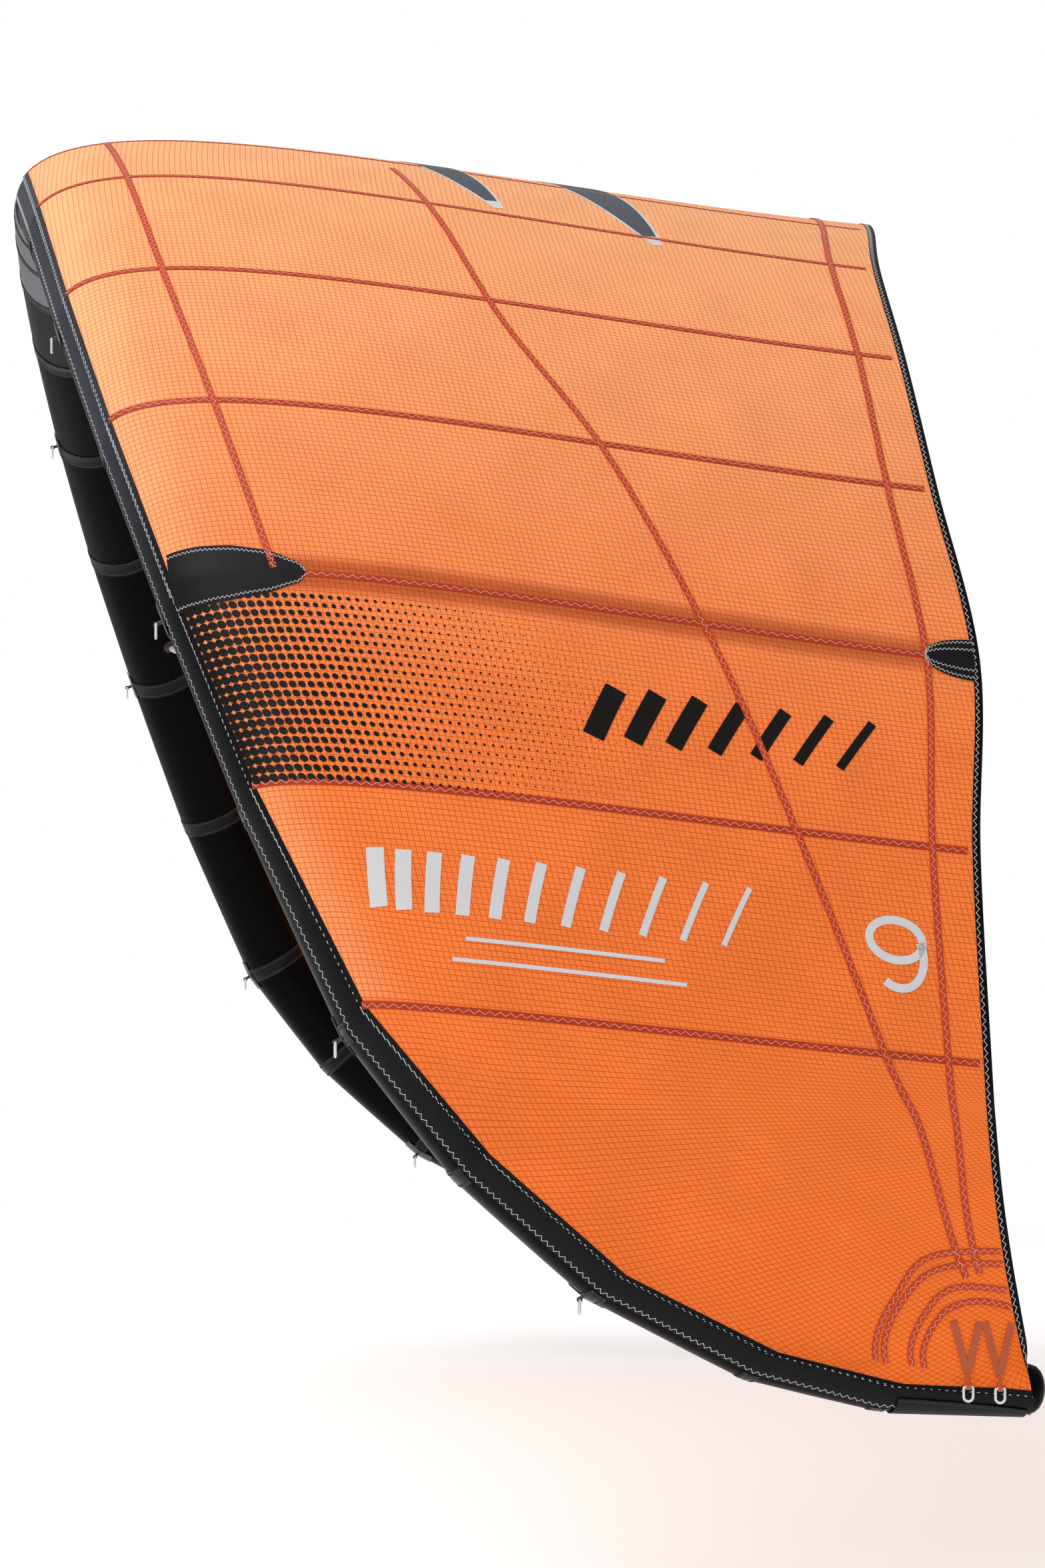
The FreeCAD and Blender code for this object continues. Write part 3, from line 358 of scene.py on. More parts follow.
def spread(route, count):
    """A smooth route through given (place, parameter) points."""
    route = np.array(route, float)
    knots = np.arange(len(route), dtype=float)
    slopes = np.gradient(route, axis=0) if len(route) > 2 else np.repeat(route[1:] - route[:1], 2, 0)
    at = np.linspace(0, knots[-1], count)
    k = np.minimum(at.astype(int), len(route) - 2)
    s = (at - k)[:, None]
    return (route[k] * (2 * s ** 3 - 3 * s ** 2 + 1) + slopes[k] * (s ** 3 - 2 * s ** 2 + s)
            + route[k + 1] * (3 * s ** 2 - 2 * s ** 3) + slopes[k + 1] * (s ** 3 - s ** 2)).T


# ------------------------------------------------------------------ materials

class Nodes:
    """Short forms for building a node material."""

    def __init__(self, name):
        self.material = bpy.data.materials.new(name)
        self.material.use_nodes = True
        self.tree = self.material.node_tree
        self.shader = self.tree.nodes["Principled BSDF"]

    def add(self, kind, inputs=(), output=0, **settings):
        node = self.tree.nodes.new("ShaderNode" + kind)
        for key, value in settings.items():
            setattr(node, key, value)
        for key, value in dict(inputs).items():
            if isinstance(value, bpy.types.NodeSocket):
                self.tree.links.new(value, node.inputs[key])
            else:
                node.inputs[key].default_value = value
        return node.outputs[output]

    def math(self, operation, first, second=0.0):
        return self.add("Math", {0: first, 1: second}, operation=operation)

    def mix(self, share, first, second, blend="MIX"):
        return self.add("Mix", {0: share, 6: first, 7: second}, output=2, data_type="RGBA", blend_type=blend)

    def set(self, **values):
        for key, value in values.items():
            self.shader.inputs[key.replace("_", " ")].default_value = value

    def link(self, key, value):
        self.tree.links.new(value, self.shader.inputs[key])

    def bump(self, height, distance, strength=1.0):
        self.link("Normal", self.add("Bump", {"Height": height, "Distance": distance, "Strength": strength}))


def ripstop(nodes, cell, line):
    """Height and mask of a ripstop grid and its fine weave, from the cloth coordinates."""
    cloth = nodes.add("Attribute", attribute_name="cloth", output=1)
    parts = nodes.tree.nodes.new("ShaderNodeSeparateXYZ")
    nodes.tree.links.new(cloth, parts.inputs[0])
    lines = []
    for axis in (0, 1):
        wave = nodes.math("PINGPONG", nodes.math("ADD", parts.outputs[axis], 40000.0), cell / 2)
        lines.append(nodes.math("LESS_THAN", wave, line / 2))
    mask = nodes.math("MAXIMUM", lines[0], lines[1])
    weave = nodes.add("TexNoise", {"Vector": cloth, "Scale": 0.9, "Detail": 3.0, "Roughness": 0.7})
    return cloth, mask, weave


def cloth_finish(name, colour, cell=9.0, line=0.7, rough=0.5, contrast=0.16, patch_scale=0.006, tinted=False,
                 sheen=0.15, specular=0.5, relief=0.35):
    nodes = Nodes(name)
    cloth, mask, weave = ripstop(nodes, cell, line)
    base = colour + (1,)
    if tinted:
        base = nodes.add("Attribute", attribute_name="tint", output=0)
    darker = nodes.mix(1.0, base, (1 - contrast, 1 - 1.6 * contrast, 1 - 1.8 * contrast, 1), "MULTIPLY")
    ripped = nodes.mix(nodes.math("MULTIPLY", mask, 0.8), base, darker)
    clouds = nodes.add("TexNoise", {"Vector": cloth, "Scale": patch_scale, "Detail": 4.0})
    shade = nodes.add("MapRange", {0: clouds, 1: 0.3, 2: 0.7, 3: 0.93, 4: 1.05})
    fine = nodes.add("MapRange", {0: weave, 1: 0.3, 2: 0.7, 3: 0.95, 4: 1.05})
    tone = nodes.math("MULTIPLY", shade, fine)
    tones = nodes.add("CombineColor", {0: tone, 1: tone, 2: tone})
    nodes.link("Base Color", nodes.mix(1.0, ripped, tones, "MULTIPLY"))
    gloss = {0: weave, 1: 0.2, 2: 0.8, 3: rough - 0.06, 4: rough + 0.06}
    nodes.link("Roughness", nodes.add("MapRange", gloss))
    nodes.bump(nodes.math("ADD", nodes.math("MULTIPLY", mask, 0.6), weave), 0.0006, relief)
    nodes.set(Sheen_Weight=sheen, Sheen_Roughness=0.4, Specular_IOR_Level=specular)
    return nodes.material


def woven_finish(name, colour, pitch=1.6, rough=0.7, light=1.35, sheen=0.2):
    """Webbing or braid: diagonal ribs across object space."""
    nodes = Nodes(name)
    place = nodes.add("TexCoord", output=3)
    wave = {"Vector": place, "Scale": 160 / pitch, "Distortion": 0.6, "Detail": 1.0}
    weft = nodes.add("TexWave", wave, output=1, bands_direction="DIAGONAL")
    fuzz = nodes.add("TexNoise", {"Vector": place, "Scale": 900.0, "Detail": 2.0})
    bright = tuple(min(channel * light + 0.004, 1.0) for channel in colour) + (1,)
    nodes.link("Base Color", nodes.mix(nodes.math("MULTIPLY", weft, fuzz), colour + (1,), bright))
    gloss = {0: fuzz, 1: 0.2, 2: 0.8, 3: rough - 0.08, 4: rough + 0.08}
    nodes.link("Roughness", nodes.add("MapRange", gloss))
    nodes.bump(nodes.math("ADD", weft, nodes.math("MULTIPLY", fuzz, 0.4)), 0.0005, 0.6)
    nodes.set(Sheen_Weight=sheen)
    return nodes.material


def moulded_finish(name, colour, rough=0.4, grain=700.0, coat=0.0, clear=0.0):
    nodes = Nodes(name)
    place = nodes.add("TexCoord", output=3)
    grains = nodes.add("TexNoise", {"Vector": place, "Scale": grain, "Detail": 3.0})
    wear = nodes.add("TexNoise", {"Vector": place, "Scale": 45.0, "Detail": 4.0})
    worn = tuple(min(channel * 1.3 + 0.01, 1.0) for channel in colour) + (1,)
    rubbed = nodes.add("MapRange", {0: wear, 1: 0.45, 2: 0.75})
    nodes.link("Base Color", nodes.mix(rubbed, colour + (1,), worn))
    gloss = {0: wear, 1: 0.3, 2: 0.7, 3: rough - 0.07, 4: rough + 0.1}
    nodes.link("Roughness", nodes.add("MapRange", gloss))
    nodes.bump(grains, 0.0003, 0.3)
    nodes.set(Coat_Weight=coat, Transmission_Weight=clear)
    return nodes.material


# ORANGE is the cloth's own colour; the pale colour is a painted highlight and the dark one a painted shade
ORANGE, HIGHLIGHT_PEACH, SHADE_RED = (0.95, 0.175, 0.017), (1.0, 0.52, 0.25), (0.36, 0.035, 0.006)
SLATE, BLACK = (0.030, 0.034, 0.048), (0.0012, 0.0012, 0.0016)
FINISH = {
    "canopy": cloth_finish("canopy_ripstop", ORANGE, cell=10.5, line=1.5, rough=0.55, contrast=0.42,
                           tinted=True, sheen=0.0, specular=0.1),
    "seam": cloth_finish("seam_tape", (0.46, 0.038, 0.006), cell=3.0, line=0.5, specular=0.2, sheen=0.0),
    "load_tape": cloth_finish("load_tape", (0.56, 0.052, 0.007), cell=4.0, line=0.6, specular=0.2, sheen=0.0),
    "thread_pale": woven_finish("thread_pale", (0.62, 0.33, 0.28), rough=0.6, sheen=0.0),
    "thread_white": woven_finish("thread_white", (0.55, 0.55, 0.57), rough=0.6, sheen=0.0),
    "thread_black": woven_finish("thread_black", (0.035, 0.035, 0.038), rough=0.6, sheen=0.0),
    "tape": cloth_finish("leading_tape", SLATE, cell=5.0, line=0.7, rough=0.42, contrast=0.4, tinted=True,
                         sheen=0.0, specular=0.15),
    "hem": cloth_finish("black_hem", BLACK, cell=5.0, line=0.7, rough=0.45, contrast=0.4, sheen=0.0,
                        specular=0.12),
    "black": cloth_finish("black_sleeve", BLACK, cell=4.0, line=0.6, rough=0.30, contrast=0.35, sheen=0.0,
                          specular=0.04),
    "grey": cloth_finish("grey_sleeve", (0.13, 0.135, 0.16), cell=4.0, line=0.6, rough=0.42, contrast=0.25,
                         sheen=0.05, specular=0.3),
    "band": cloth_finish("joint_band", BLACK, cell=3.0, line=0.5, rough=0.25, contrast=0.3, sheen=0.0,
                         specular=0.16),
    "patch": cloth_finish("black_patch", (0.006, 0.006, 0.007), cell=6.0, line=0.8, contrast=0.35, sheen=0.0,
                          specular=0.15),
    "print_black": cloth_finish("print_black", (0.008, 0.005, 0.005), rough=0.45, contrast=0.3, relief=0.2,
                                sheen=0.0, specular=0.15),
    "print_pale": cloth_finish("print_pale", (0.66, 0.65, 0.66), rough=0.45, contrast=0.06, relief=0.2,
                               sheen=0.0, specular=0.2),
    "print_slate": cloth_finish("print_slate", (0.06, 0.07, 0.09), rough=0.45, contrast=0.2, relief=0.2,
                                sheen=0.0, specular=0.2),
    "webbing": woven_finish("webbing", (0.40, 0.07, 0.018), pitch=1.4),
    "cord": woven_finish("braided_loop", (0.62, 0.63, 0.65), pitch=1.0, rough=0.75),
    "keeper": woven_finish("keeper_webbing", (0.022, 0.022, 0.026), pitch=1.4, rough=0.55),
    "bladder": moulded_finish("bladder_film", (0.72, 0.75, 0.78), rough=0.25, clear=0.4),
    "hose": moulded_finish("hose_tube", (0.74, 0.76, 0.75), rough=0.3, clear=0.3),
    "moulding": moulded_finish("valve_moulding", (0.03, 0.03, 0.034), rough=0.42),
    "clip": moulded_finish("clip_plastic", (0.72, 0.05, 0.02), rough=0.28, coat=0.3),
    "flap": moulded_finish("flap_rubber", (0.06, 0.06, 0.06), rough=0.7),
}


# ------------------------------------------------------------------ canopy

def canopy_colour_with_painted_light(place, at):
    """Cloth colour with painted light: a painted highlight, pale at the crown and in front, and painted shade
    over a strut, along the front edge and low at the tip.
    """
    base = np.ones(place.shape + (4,)) * np.array(ORANGE + (1,))
    # painted highlight: the cloth is paled towards the peach highlight colour at the crown and at the front
    # of the chord
    pale = np.interp(np.abs(place), *zip(*CROWN_HIGHLIGHT))
    pale = pale + 0.3 * (1 - smoothstep(at, 0.0, 0.22)) * (place < LAST_RIB)
    base[..., :3] += (np.array(HIGHLIGHT_PEACH) - base[..., :3]) * np.clip(pale, 0, 0.95)[..., None]
    # painted shade: a darker band over each strut, where the strut under the cloth blocks the light coming
    # through it
    shadow = np.zeros(place.shape)
    for rib in (0, STRUT_JOINT):
        width = 0.75 * (STRUT_RADII[rib][0] * (1 - at) + STRUT_RADII[rib][1] * at) / 370
        gap = np.abs(np.abs(place) - rib)
        shadow += (1 - smoothstep(gap, width * 0.5, width * 1.5)) * smoothstep(at, 0.0, 0.04)
    # painted shade along the front edge beside the tube, and lower on the wing towards the tip
    front = 1 - smoothstep(at, 0.0, 0.03)
    low = 0.16 * smoothstep(np.abs(place), 7.0, 9.5) * (1 - smoothstep(at, 0.0, 0.55))
    shade_amount = np.clip(shadow * 0.7 + 0.25 * front + low, 0, 0.85)[..., None]
    base[..., :3] += (np.array(SHADE_RED) - base[..., :3]) * shade_amount
    return base


def canopy_panel(name, first, last, side, node):
    places = np.linspace(first, last, int(round((last - first) * 18)) + 1)[:, None]
    ats = np.linspace(0, 1, 73)[None]
    grid = lifted(places + 0 * ats, ats + 0 * places, 0)
    soup = Soup()
    under = lifted(places + 0 * ats, ats + 0 * places, -CANOPY_THICK)
    # the tint holds the cloth colour with the painted highlight and the painted shade
    soup.shell(grid, under, tint=canopy_colour_with_painted_light(places + 0 * ats, ats + 0 * places))
    piece = soup.make(name, side, FINISH["canopy"], "canopy", [node])


def canopy():
    canopy_panel("cloth_panel_middle", -1, 1, 1, "canopy_panel_middle")
    for label, side in SIDES:
        for rib in range(1, LAST_RIB):
            place = "%d_%s" % (rib, label)
            canopy_panel("cloth_panel_" + place, rib, rib + 1, side, "canopy_panel_" + place)
        canopy_panel("cloth_panel_tip_" + label, LAST_RIB, TIP_JOINT, side, "canopy_panel_tip_" + label)


def seams():
    ats = np.linspace(0.012, 0.992, 90)
    for label, side in SIDES:
        tapes, threads = Soup(), Soup()
        for rib in range(0 if side > 0 else 1, LAST_RIB + 1):
            grid = ribbon(np.full(90, float(rib)), ats, SEAM_WIDTH, 1.0)
            tapes.sheet(grid, 0.6)
            zigzag(threads, grid, 0.5, SEAM_PERIOD, SEAM_SWING)
        tapes.make("seam_tapes_" + label, side, FINISH["seam"], "canopy")
        threads.make("seam_threads_" + label, side, FINISH["thread_pale"], "canopy")


LOAD_TAPES = (
    ((2.0, 0.205), (3.2, 0.225), (4.05, 0.235), (5.09, 0.248), (5.98, 0.249)),
    ((2.31, 0.556), (3.2, 0.59), (4.16, 0.624), (5.04, 0.689), (6.02, 0.739), (7.03, 0.81), (8.16, 0.881),
     (9.6, 0.895), (11.04, 0.873)),
    ((0.33, 0.953), (2.0, 0.957), (3.9, 0.96), (4.95, 0.957), (5.79, 0.953), (7.0, 0.954), (7.99, 0.953),
     (9.5, 0.945), (11.06, 0.915)),
)
TIP_ARCS = (
    ((11.55, 0.317), (10.95, 0.643), (10.62, 0.795), (10.70, 0.903), (10.86, 0.985)),
    ((11.65, 0.320), (10.99, 0.668), (10.80, 0.789), (10.86, 0.891), (11.06, 0.985)),
    ((11.84, 0.377), (11.29, 0.673), (11.11, 0.785), (11.16, 0.861), (11.47, 0.98)),
    ((11.95, 0.393), (11.44, 0.686), (11.34, 0.785), (11.44, 0.877), (11.75, 0.98)),
)


def load_tapes():
    for label, side in SIDES:
        tapes, threads = Soup(), Soup()
        for routes, width, period in ((LOAD_TAPES, TAPE_WIDTH, 16), (TIP_ARCS, ARC_WIDTH, 14)):
            for route in routes:
                places, ats = spread(route, 160)
                grid = ribbon(places, ats, width, TAPE_LIFT)
                tapes.sheet(grid, 0.7)
                zigzag(threads, grid, 0.5, period, width * 0.3)
        tapes.make("load_tapes_" + label, side, FINISH["load_tape"], "canopy")
        threads.make("load_tape_threads_" + label, side, FINISH["thread_pale"], "canopy")


def hem_grid(first, last):
    """The outer face of the folded tape over the trailing edge, from its fold to its end on the cloth."""
    places = np.linspace(first, last, int((last - first) * 22) + 1)
    along, chordwise = partials(places, np.full(len(places), 0.995))
    heading, length = unit(chordwise), np.linalg.norm(chordwise, axis=-1)
    edge = surface(places, np.ones(len(places)))
    inset = surface(places, 1 - HEM_IN / length)
    normals = across(np.cross(along, chordwise), heading)
    out = edge + heading * (HEM_OUT - 1)
    return np.stack([out + normals * 0.6, edge + normals * 1.2, inset + normals * 1.2], 1)


def trailing_hem():
    for label, side in SIDES:
        tape, threads = Soup(), Soup()
        grid = hem_grid(0, TIP_JOINT)
        tape.sheet(grid, 2.8)
        zigzag(threads, grid, 0.55, HEM_PERIOD, HEM_SWING)
        tape.make("trailing_hem_" + label, side, FINISH["hem"], "tape", ["trailing_edge_tape_" + label])
        threads.make("trailing_hem_threads_" + label, side, FINISH["thread_white"], "tape")


# ------------------------------------------------------------------ leading edge

def tube_relief(place, angle):
    """Slight barrel between the joints, a sewn pinch at each joint and puckers beside it."""
    place = np.abs(place)
    joint = np.clip(np.floor(place + 1e-9).astype(int), 0, TIP_JOINT - 1)
    share = place - joint
    length = np.array(SEGMENT_LENGTHS, float)[joint]
    gap = np.where(joint == 0, 1 - share, np.minimum(share, 1 - share)) * length
    waves = np.cos(np.radians(angle) * 24 + np.round(place) * 2.1)
    pucker = 0.55 * waves * np.exp(-gap / 26) * (1 - np.exp(-gap / 4))
    return 1.2 * (1 - np.exp(-gap / 45)) - 1.4 * np.exp(-gap / 5) + pucker


def tube_places(first, last):
    steps = []
    for joint in range(first, last):
        steps += [joint + share for share in 0.5 - 0.5 * np.cos(np.linspace(0, math.pi, TUBE_STEPS + 1))[:-1]]
    return np.array(steps + [last])


def tube_piece(name, first, last, side, finish, slot, nodes, cap=False):
    places = tube_places(first, last)[:, None]
    angles = np.arange(0, 360, 5.0)[None]
    places, angles = places + 0 * angles, angles + 0 * places
    outer = skin(places, angles, tube_relief(places, angles))
    inner = skin(places, angles, -1.5)
    if cap:
        centre, reach = JOINTS[TIP_JOINT], 25.0
        turns = np.radians([18, 36, 54, 70, 82, 88.5])
        capped = []
        for wall, end in ((outer, reach), (inner, reach - 1.5)):
            rings = [centre + (wall[-1] - centre) * math.cos(turn) + DIRECTIONS[-1] * end * math.sin(turn)
                     for turn in turns]
            capped.append(np.vstack([wall, rings]))
        outer, inner = capped
    soup = Soup()
    soup.shell(outer, inner, wrap=True)
    soup.make(name, side, FINISH[finish], slot, nodes)


def leading_edge():
    tube_piece("sleeve_middle", -GREY_JOINT, GREY_JOINT, 1, "grey", "sleeve_grey",
               ["leading_edge_sleeve_middle"])
    for label, side in SIDES:
        node = ["leading_edge_sleeve_" + label]
        tube_piece("sleeve_upper_" + label, GREY_JOINT, SPLIT_JOINT, side, "black", "sleeve_black", node)
        tube_piece("sleeve_lower_" + label, SPLIT_JOINT, LOWER_JOINT, side, "black", "sleeve_black", node)
        tube_piece("sleeve_tip_" + label, LOWER_JOINT, TIP_JOINT, side, "black", "sleeve_black",
                   ["leading_edge_sleeve_tip_" + label], cap=True)


def skin_grid(places, starts, ends, lift, columns):
    shares = np.linspace(0, 1, columns)[None]
    angles = np.asarray(starts)[:, None] * (1 - shares) + np.asarray(ends)[:, None] * shares
    return skin(np.asarray(places)[:, None] + 0 * angles, angles, lift)


def leading_tape():
    for label, side in SIDES:
        tape, threads = Soup(), Soup()
        places = tube_places(0, TIP_JOINT)
        start = attach_angle(places) + 1.0
        band = skin_grid(places, start + tube_degrees(places, LEADING_TAPE_WIDTH), start + 0.6, 2.2, 8)
        length = np.linalg.norm(partials(places, np.full(len(places), 0.01))[1], axis=-1)
        step = lifted(places, 2.0 / length, 1.0)
        over = lifted(places, 11.0 / length, 1.0)
        ahead = step - unit(over - step) * 4.0
        grid = np.concatenate([band, ahead[:, None], step[:, None], over[:, None]], 1)[:, ::-1]
        fade = smoothstep(places, 4.8, 6.2)[:, None, None]
        shades = np.array(SLATE + (1,)) * (1 - fade) + np.array(BLACK + (1,)) * fade
        tape.sheet(grid, TAPE_THICK, tint=np.broadcast_to(shades, grid.shape[:2] + (4,)))
        zigzag(threads, grid, 0.18, HEM_PERIOD, HEM_SWING)
        zigzag(threads, grid[:TUBE_STEPS * STRUT_JOINT], 0.31, HEM_PERIOD, HEM_SWING)
        zigzag(threads, grid, 0.90, HEM_PERIOD, HEM_SWING)
        tape.make("leading_tape_" + label, side, FINISH["tape"], "tape", ["leading_edge_tape_" + label])
        threads.make("leading_tape_threads_" + label, side, FINISH["thread_white"], "tape")


def joint_bands():
    for label, side in SIDES:
        bands, threads = Soup(), Soup()
        for joint in range(1, TIP_JOINT):
            half = np.interp(joint, (1, TIP_JOINT - 1), BAND_HALVES)
            before, after = half / SEGMENT_LENGTHS[joint - 1], half / SEGMENT_LENGTHS[joint]
            places = np.concatenate([joint - before * np.linspace(1, 0, 6),
                                     joint + after * np.linspace(0, 1, 6)[1:]])
            start = attach_angle(joint) + tube_degrees(joint, LEADING_TAPE_WIDTH + 4)
            grid = skin_grid(places, np.full(11, start), np.full(11, 255.0), 1.7, 60)
            grid = np.swapaxes(grid, 0, 1)[:, ::-1]
            bands.sheet(grid, TAPE_THICK)
            for share in (0.14, 0.86):
                zigzag(threads, grid, share, 7, 2.0)
        bands.make("joint_bands_" + label, side, FINISH["band"], "tape", ["joint_bands"])
        threads.make("joint_band_threads_" + label, side, FINISH["thread_black"], "tape")


# ------------------------------------------------------------------ struts and patches

def strut_rings(rib):
    poles = rib_poles(rib, -CAD_CLOTH)
    chordwise, outwards, _ = rib_frame(rib)
    aside = unit(np.cross(chordwise, outwards))
    nose, tail = STRUT_RADII[rib]
    ats = np.linspace(0.10, 0.975, STRUT_STEPS)
    points = bernstein(ats) @ poles
    heading = unit(np.gradient(points, axis=0))
    inwards = -unit(np.cross(aside, heading))
    inwards *= np.where((inwards * outwards).sum(-1) > 0, -1, 1)[:, None]
    radii = nose + (tail - nose) * ats
    centres = points + inwards * (radii + LAYER_GAP)[:, None]
    sideways = unit(np.cross(heading, inwards))
    turns = np.radians(np.arange(0, 360, 7.5))
    wrinkle = 0.4 * np.cos(turns * 14)[None] * np.exp(-(ats - ats[0]) / 0.02)[:, None]
    reach = (radii[:, None] - 0.4 + wrinkle)[..., None]
    spokes = inwards[:, None] * np.cos(turns)[:, None] + sideways[:, None] * np.sin(turns)[:, None]
    rings = centres[:, None] + spokes * reach
    cap = [centres[-1] + (rings[-1] - centres[-1]) * math.cos(turn) + heading[-1] * 14 * math.sin(turn)
           for turn in np.radians([20, 40, 60, 76, 88])]
    return np.vstack([rings, cap]), centres


def struts():
    for label, rib, side in STRUTS:
        rings, centres = strut_rings(rib)
        middles = rings.mean(1, keepdims=True)
        soup, threads = Soup(), Soup()
        soup.shell(rings, middles + (rings - middles) * 0.96, wrap=True)
        soup.make("strut_cloth_" + label, side, FINISH["black"], "strut_cloth", ["strut_sleeve_" + label])
        for column in (9, 39):
            strip = rings[:STRUT_STEPS, column - 1:column + 2]
            strip = strip + unit(strip - centres[:, None]) * 0.5
            zigzag(threads, strip, 0.5, 10, 2.2)
        threads.make("strut_threads_" + label, side, FINISH["thread_black"], "strut_cloth")


NOSE_PATCH = ((0.012, 58), (0.10, 58), (0.17, 54), (0.24, 42), (0.285, 20), (0.295, 4))
TAIL_PATCH_DEPTH, TAIL_PATCH_HALF = 66, 42


def ridge_patches():
    patches, threads = {"nose": Soup(), "tail": Soup()}, Soup()
    for _, rib, side in STRUTS:
        flip = np.array([side, 1, 1])
        ats = np.linspace(NOSE_PATCH[0][0], NOSE_PATCH[-1][0], 60)
        halves = np.interp(ats, *zip(*NOSE_PATCH))
        nose = ribbon(np.full(60, float(rib)), ats, 2 * halves, TAPE_LIFT, 13)
        depth = TAIL_PATCH_DEPTH / np.linalg.norm(TAILS[rib] - JOINTS[rib])
        shares = np.linspace(0.03, 1, 30)
        inset = 1 - shares ** 1.6
        widths = 2 * TAIL_PATCH_HALF * np.sqrt(1 - inset ** 2)
        tail = ribbon(np.full(30, float(rib)), 1 - depth * inset, widths, TAPE_LIFT, 13)
        for kind, grid in (("nose", nose), ("tail", tail)):
            patches[kind].sheet(grid * flip, TAPE_THICK)
            for share in (0.07, 0.93):
                zigzag(threads, grid * flip, share, *PATCH_STITCH)
            if kind == "tail":
                for share in (0.25, 0.75):
                    zigzag(threads, grid * flip, share, *PATCH_STITCH)
    patches["nose"].make("nose_patches", 1, FINISH["patch"], "patch", ["strut_nose_patches"])
    patches["tail"].make("tail_patches", 1, FINISH["patch"], "patch", ["strut_tail_patches"])
    threads.make("patch_threads", 1, FINISH["thread_white"], "patch")


def tip_details():
    for label, side in SIDES:
        pad, threads = Soup(), Soup()
        places = np.linspace(12.1, 12.96, 30)
        grid = skin_grid(places, np.full(30, 8.0), np.full(30, 95.0), 5.0, 24)
        pad.sheet(grid, 1.2)
        for share in (0.06, 0.94):
            zigzag(threads, grid, share, *PATCH_STITCH)
        pad.make("tip_pad_cloth_" + label, side, FINISH["patch"], "patch", ["tip_pad_" + label])
        threads.make("tip_pad_threads_" + label, side, FINISH["thread_black"], "patch")


# ------------------------------------------------------------------ prints

def dot_rows(soup):
    """Rows of round dots that shrink from the front of the panel between joints 6 and 7 backwards."""
    turns = np.linspace(0, 2 * math.pi, DOT_CORNERS + 1)[:-1]
    for row in range(DOT_ROWS):
        place = 6.12 + 0.86 * row / (DOT_ROWS - 1)
        reach = 0.60 + 0.08 * math.sin(math.pi * row / DOT_ROWS)
        at = 0.035
        while at < reach:
            radius = DOT_RADIUS * (1 - float(smoothstep(np.array(at), -0.05, reach))) + 0.6
            rim = nearest_share(np.full(DOT_CORNERS, place), np.full(DOT_CORNERS, at),
                                (np.cos(turns) * radius, np.sin(turns) * radius))
            ring = lifted(*rim, DOT_LIFT)
            outer = np.stack([ring.mean(0) * 0.98 + ring * 0.02, ring])
            under = lifted(*rim, 0.0)
            soup.shell(outer, np.stack([under.mean(0) * 0.98 + under * 0.02, under]), wrap=True)
            at += DOT_PITCH / np.linalg.norm(partials(np.array(place), np.array(at))[1])


DOT_ROWS, DOT_CORNERS, DOT_RADIUS, DOT_PITCH, DOT_LIFT = 21, 12, 8.6, 15.5, 1.4
CROWN_LEAVES = ((0.3, 2.9, 0.52, 0.655, 84), (0.3, 3.1, 0.665, 0.80, 100))


def stroke(soup, places, ats, width, lift=0.9, thick=0.4):
    soup.sheet(ribbon(places, ats, width, lift, 7), thick)


def bars(soup, first, last, starts, ends, widths):
    """Slanted bars between two places, in a row along the chord."""
    for start, end, width in zip(starts, ends, widths):
        stroke(soup, np.linspace(last, first, 24), np.linspace(start, end, 24), width)


def numeral(soup, place, at, side):
    """The size numeral, a plain 9, turned over on the mirrored half so that it reads there too."""
    bowl = np.linspace(0, 2 * math.pi, 61)
    tail = np.radians(np.linspace(24, -125, 40))
    for x, y in ((48 * np.cos(bowl), 25 + 35 * np.sin(bowl)), (48 * np.cos(tail), 61 * np.sin(tail))):
        places, ats = nearest_share(np.full(x.shape, place), np.full(x.shape, at), (-y, x * side))
        stroke(soup, places, ats, 15)


def prints():
    for label, side in SIDES:
        black, pale, slate = Soup(), Soup(), Soup()
        dot_rows(black)
        starts = np.linspace(0.60, 0.86, 7)
        bars(black, 6.41, 6.66, starts, starts + 0.035, np.linspace(40, 16, 7))
        starts = np.linspace(0.20, 0.70, 11)
        bars(pale, 7.28, 7.54, starts, starts + 0.045, np.linspace(30, 10, 11))
        for place, start, end in ((7.64, 0.34, 0.62), (7.74, 0.30, 0.64)):
            stroke(pale, np.full(60, place), np.linspace(start, end, 60), 7)
        numeral(pale, 7.49, 0.905, side)
        for first, last, start, end, width in CROWN_LEAVES:
            places, ats = np.linspace(first, last, 90), np.linspace(start, end, 90)
            shape = np.sin(np.linspace(0.03, math.pi - 0.03, 90)) ** 0.7
            stroke(pale, places, ats, 12 + width * shape, 0.8)
            stroke(slate, places[4:-4], ats[4:-4], width * shape[4:-4], 1.3)
        black.make("black_print_" + label, side, FINISH["print_black"], "canopy")
        pale.make("pale_print_" + label, side, FINISH["print_pale"], "canopy")
        slate.make("slate_print_" + label, side, FINISH["print_slate"], "canopy")


# ------------------------------------------------------------------ carried-over nodes

def paint_nodes():
    kinds = (("loop", "cord"), ("bridle_patches", "keeper"), ("webbing", "webbing"), ("bladder", "bladder"),
             ("air_hoses", "hose"), ("collar", "moulding"), ("valve_base", "moulding"),
             ("valve_cap", "moulding"), ("valve_flap", "flap"), ("pinch_clip", "clip"))
    for name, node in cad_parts.items():
        finish = next((FINISH[kind] for word, kind in kinds if word in name), FINISH["patch"])
        node.data.materials.clear()
        node.data.materials.append(finish)


# ------------------------------------------------------------------ stage

CAMERA_PLACE = (9.862, -0.008, -1.293)
CAMERA_YAW, CAMERA_PITCH, CAMERA_LENS = 0.0987, 0.0131, 108.2
FLOOR_DROP, FLOOR_HALF = 0.30, 6.0
WORLD_LIGHT = 0.45


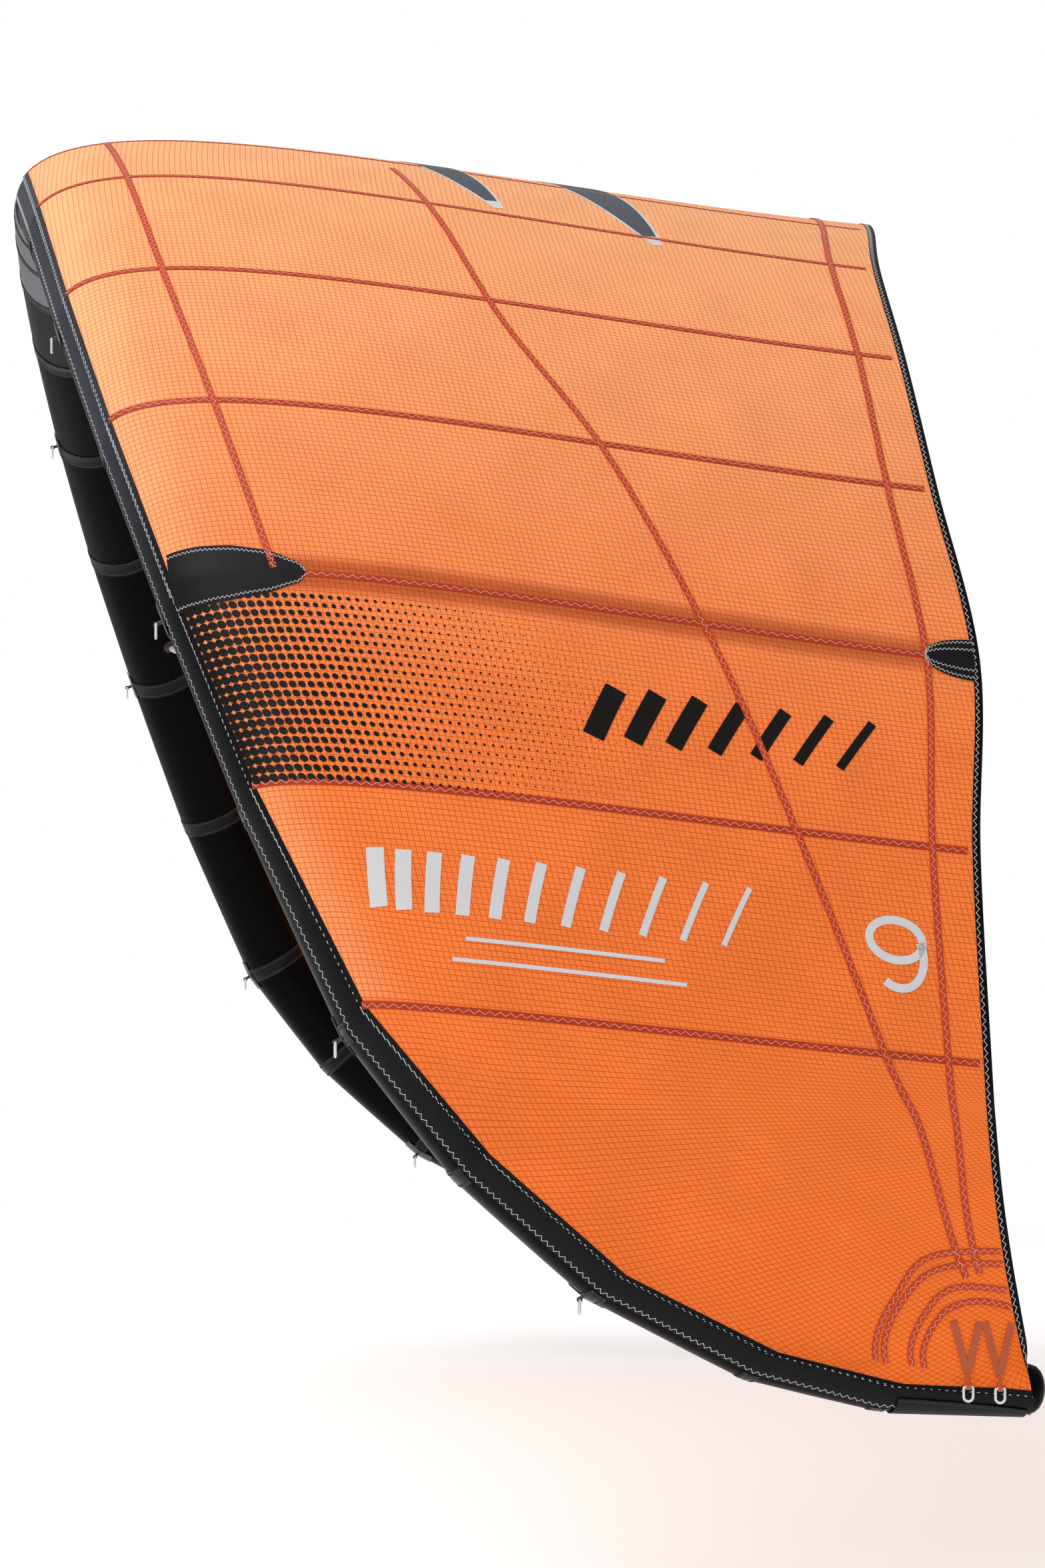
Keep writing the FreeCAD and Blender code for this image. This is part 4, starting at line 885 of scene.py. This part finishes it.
def camera():
    data = bpy.data.cameras.new("camera")
    data.lens, data.sensor_width, data.sensor_fit = CAMERA_LENS, 36, "AUTO"
    data.clip_end = 200
    holder = bpy.data.objects.new("camera", data)
    bpy.context.scene.collection.objects.link(holder)
    level = math.cos(CAMERA_PITCH)
    heading = Vector((-math.cos(CAMERA_YAW) * level, math.sin(CAMERA_YAW) * level, math.sin(CAMERA_PITCH)))
    turned = heading.to_track_quat("-Z", "Y").to_matrix().to_4x4()
    holder.matrix_world = Matrix.Translation(CAMERA_PLACE) @ turned
    bpy.context.scene.camera = holder


def area_light(name, place, target, size, power):
    data = bpy.data.lights.new(name, "AREA")
    data.shape, data.size, data.energy = "SQUARE", size, power
    lamp = bpy.data.objects.new(name, data)
    bpy.context.scene.collection.objects.link(lamp)
    way = Vector(target) - Vector(place)
    lamp.matrix_world = Matrix.Translation(place) @ way.to_track_quat("-Z", "Y").to_matrix().to_4x4()


def stage():
    floor = CAD_BOX[0][2] - FLOOR_DROP
    mesh = bpy.data.meshes.new("floor")
    corners = [(x * FLOOR_HALF, y * FLOOR_HALF, floor) for x, y in ((-1, -1), (1, -1), (1, 1), (-1, 1))]
    mesh.from_pydata(corners, [], [(0, 1, 2, 3)])
    paint = Nodes("floor_paint")
    paint.set(Base_Color=(0.95, 0.95, 0.95, 1), Roughness=0.9, Specular_IOR_Level=0.0,
              Emission_Color=(1, 1, 1, 1), Emission_Strength=0.40)
    mesh.materials.append(paint.material)
    ground = bpy.data.objects.new("floor", mesh)
    bpy.context.scene.collection.objects.link(ground)
    world = bpy.data.worlds.new("studio")
    world.use_nodes = True
    nodes, links = world.node_tree.nodes, world.node_tree.links
    seen = nodes.new("ShaderNodeLightPath")
    strength = nodes.new("ShaderNodeMapRange")
    strength.inputs["To Min"].default_value = WORLD_LIGHT
    links.new(seen.outputs["Is Camera Ray"], strength.inputs["Value"])
    nodes["Background"].inputs["Color"].default_value = (1, 1, 1, 1)
    links.new(strength.outputs["Result"], nodes["Background"].inputs["Strength"])
    bpy.context.scene.world = world
    area_light("key", (3.0, -3.0, 7.0), (0.8, 0.6, -0.6), 6.0, 560)
    area_light("front", (9.0, -3.0, 1.5), (1.6, 0.8, -1.2), 4.0, 150)
    bpy.context.scene.view_settings.view_transform = "Standard"


paint_nodes()
camera()
stage()
canopy()
seams()
load_tapes()
trailing_hem()
leading_edge()
leading_tape()
joint_bands()
struts()
ridge_patches()
tip_details()
prints()

bpy.context.view_layer.update()
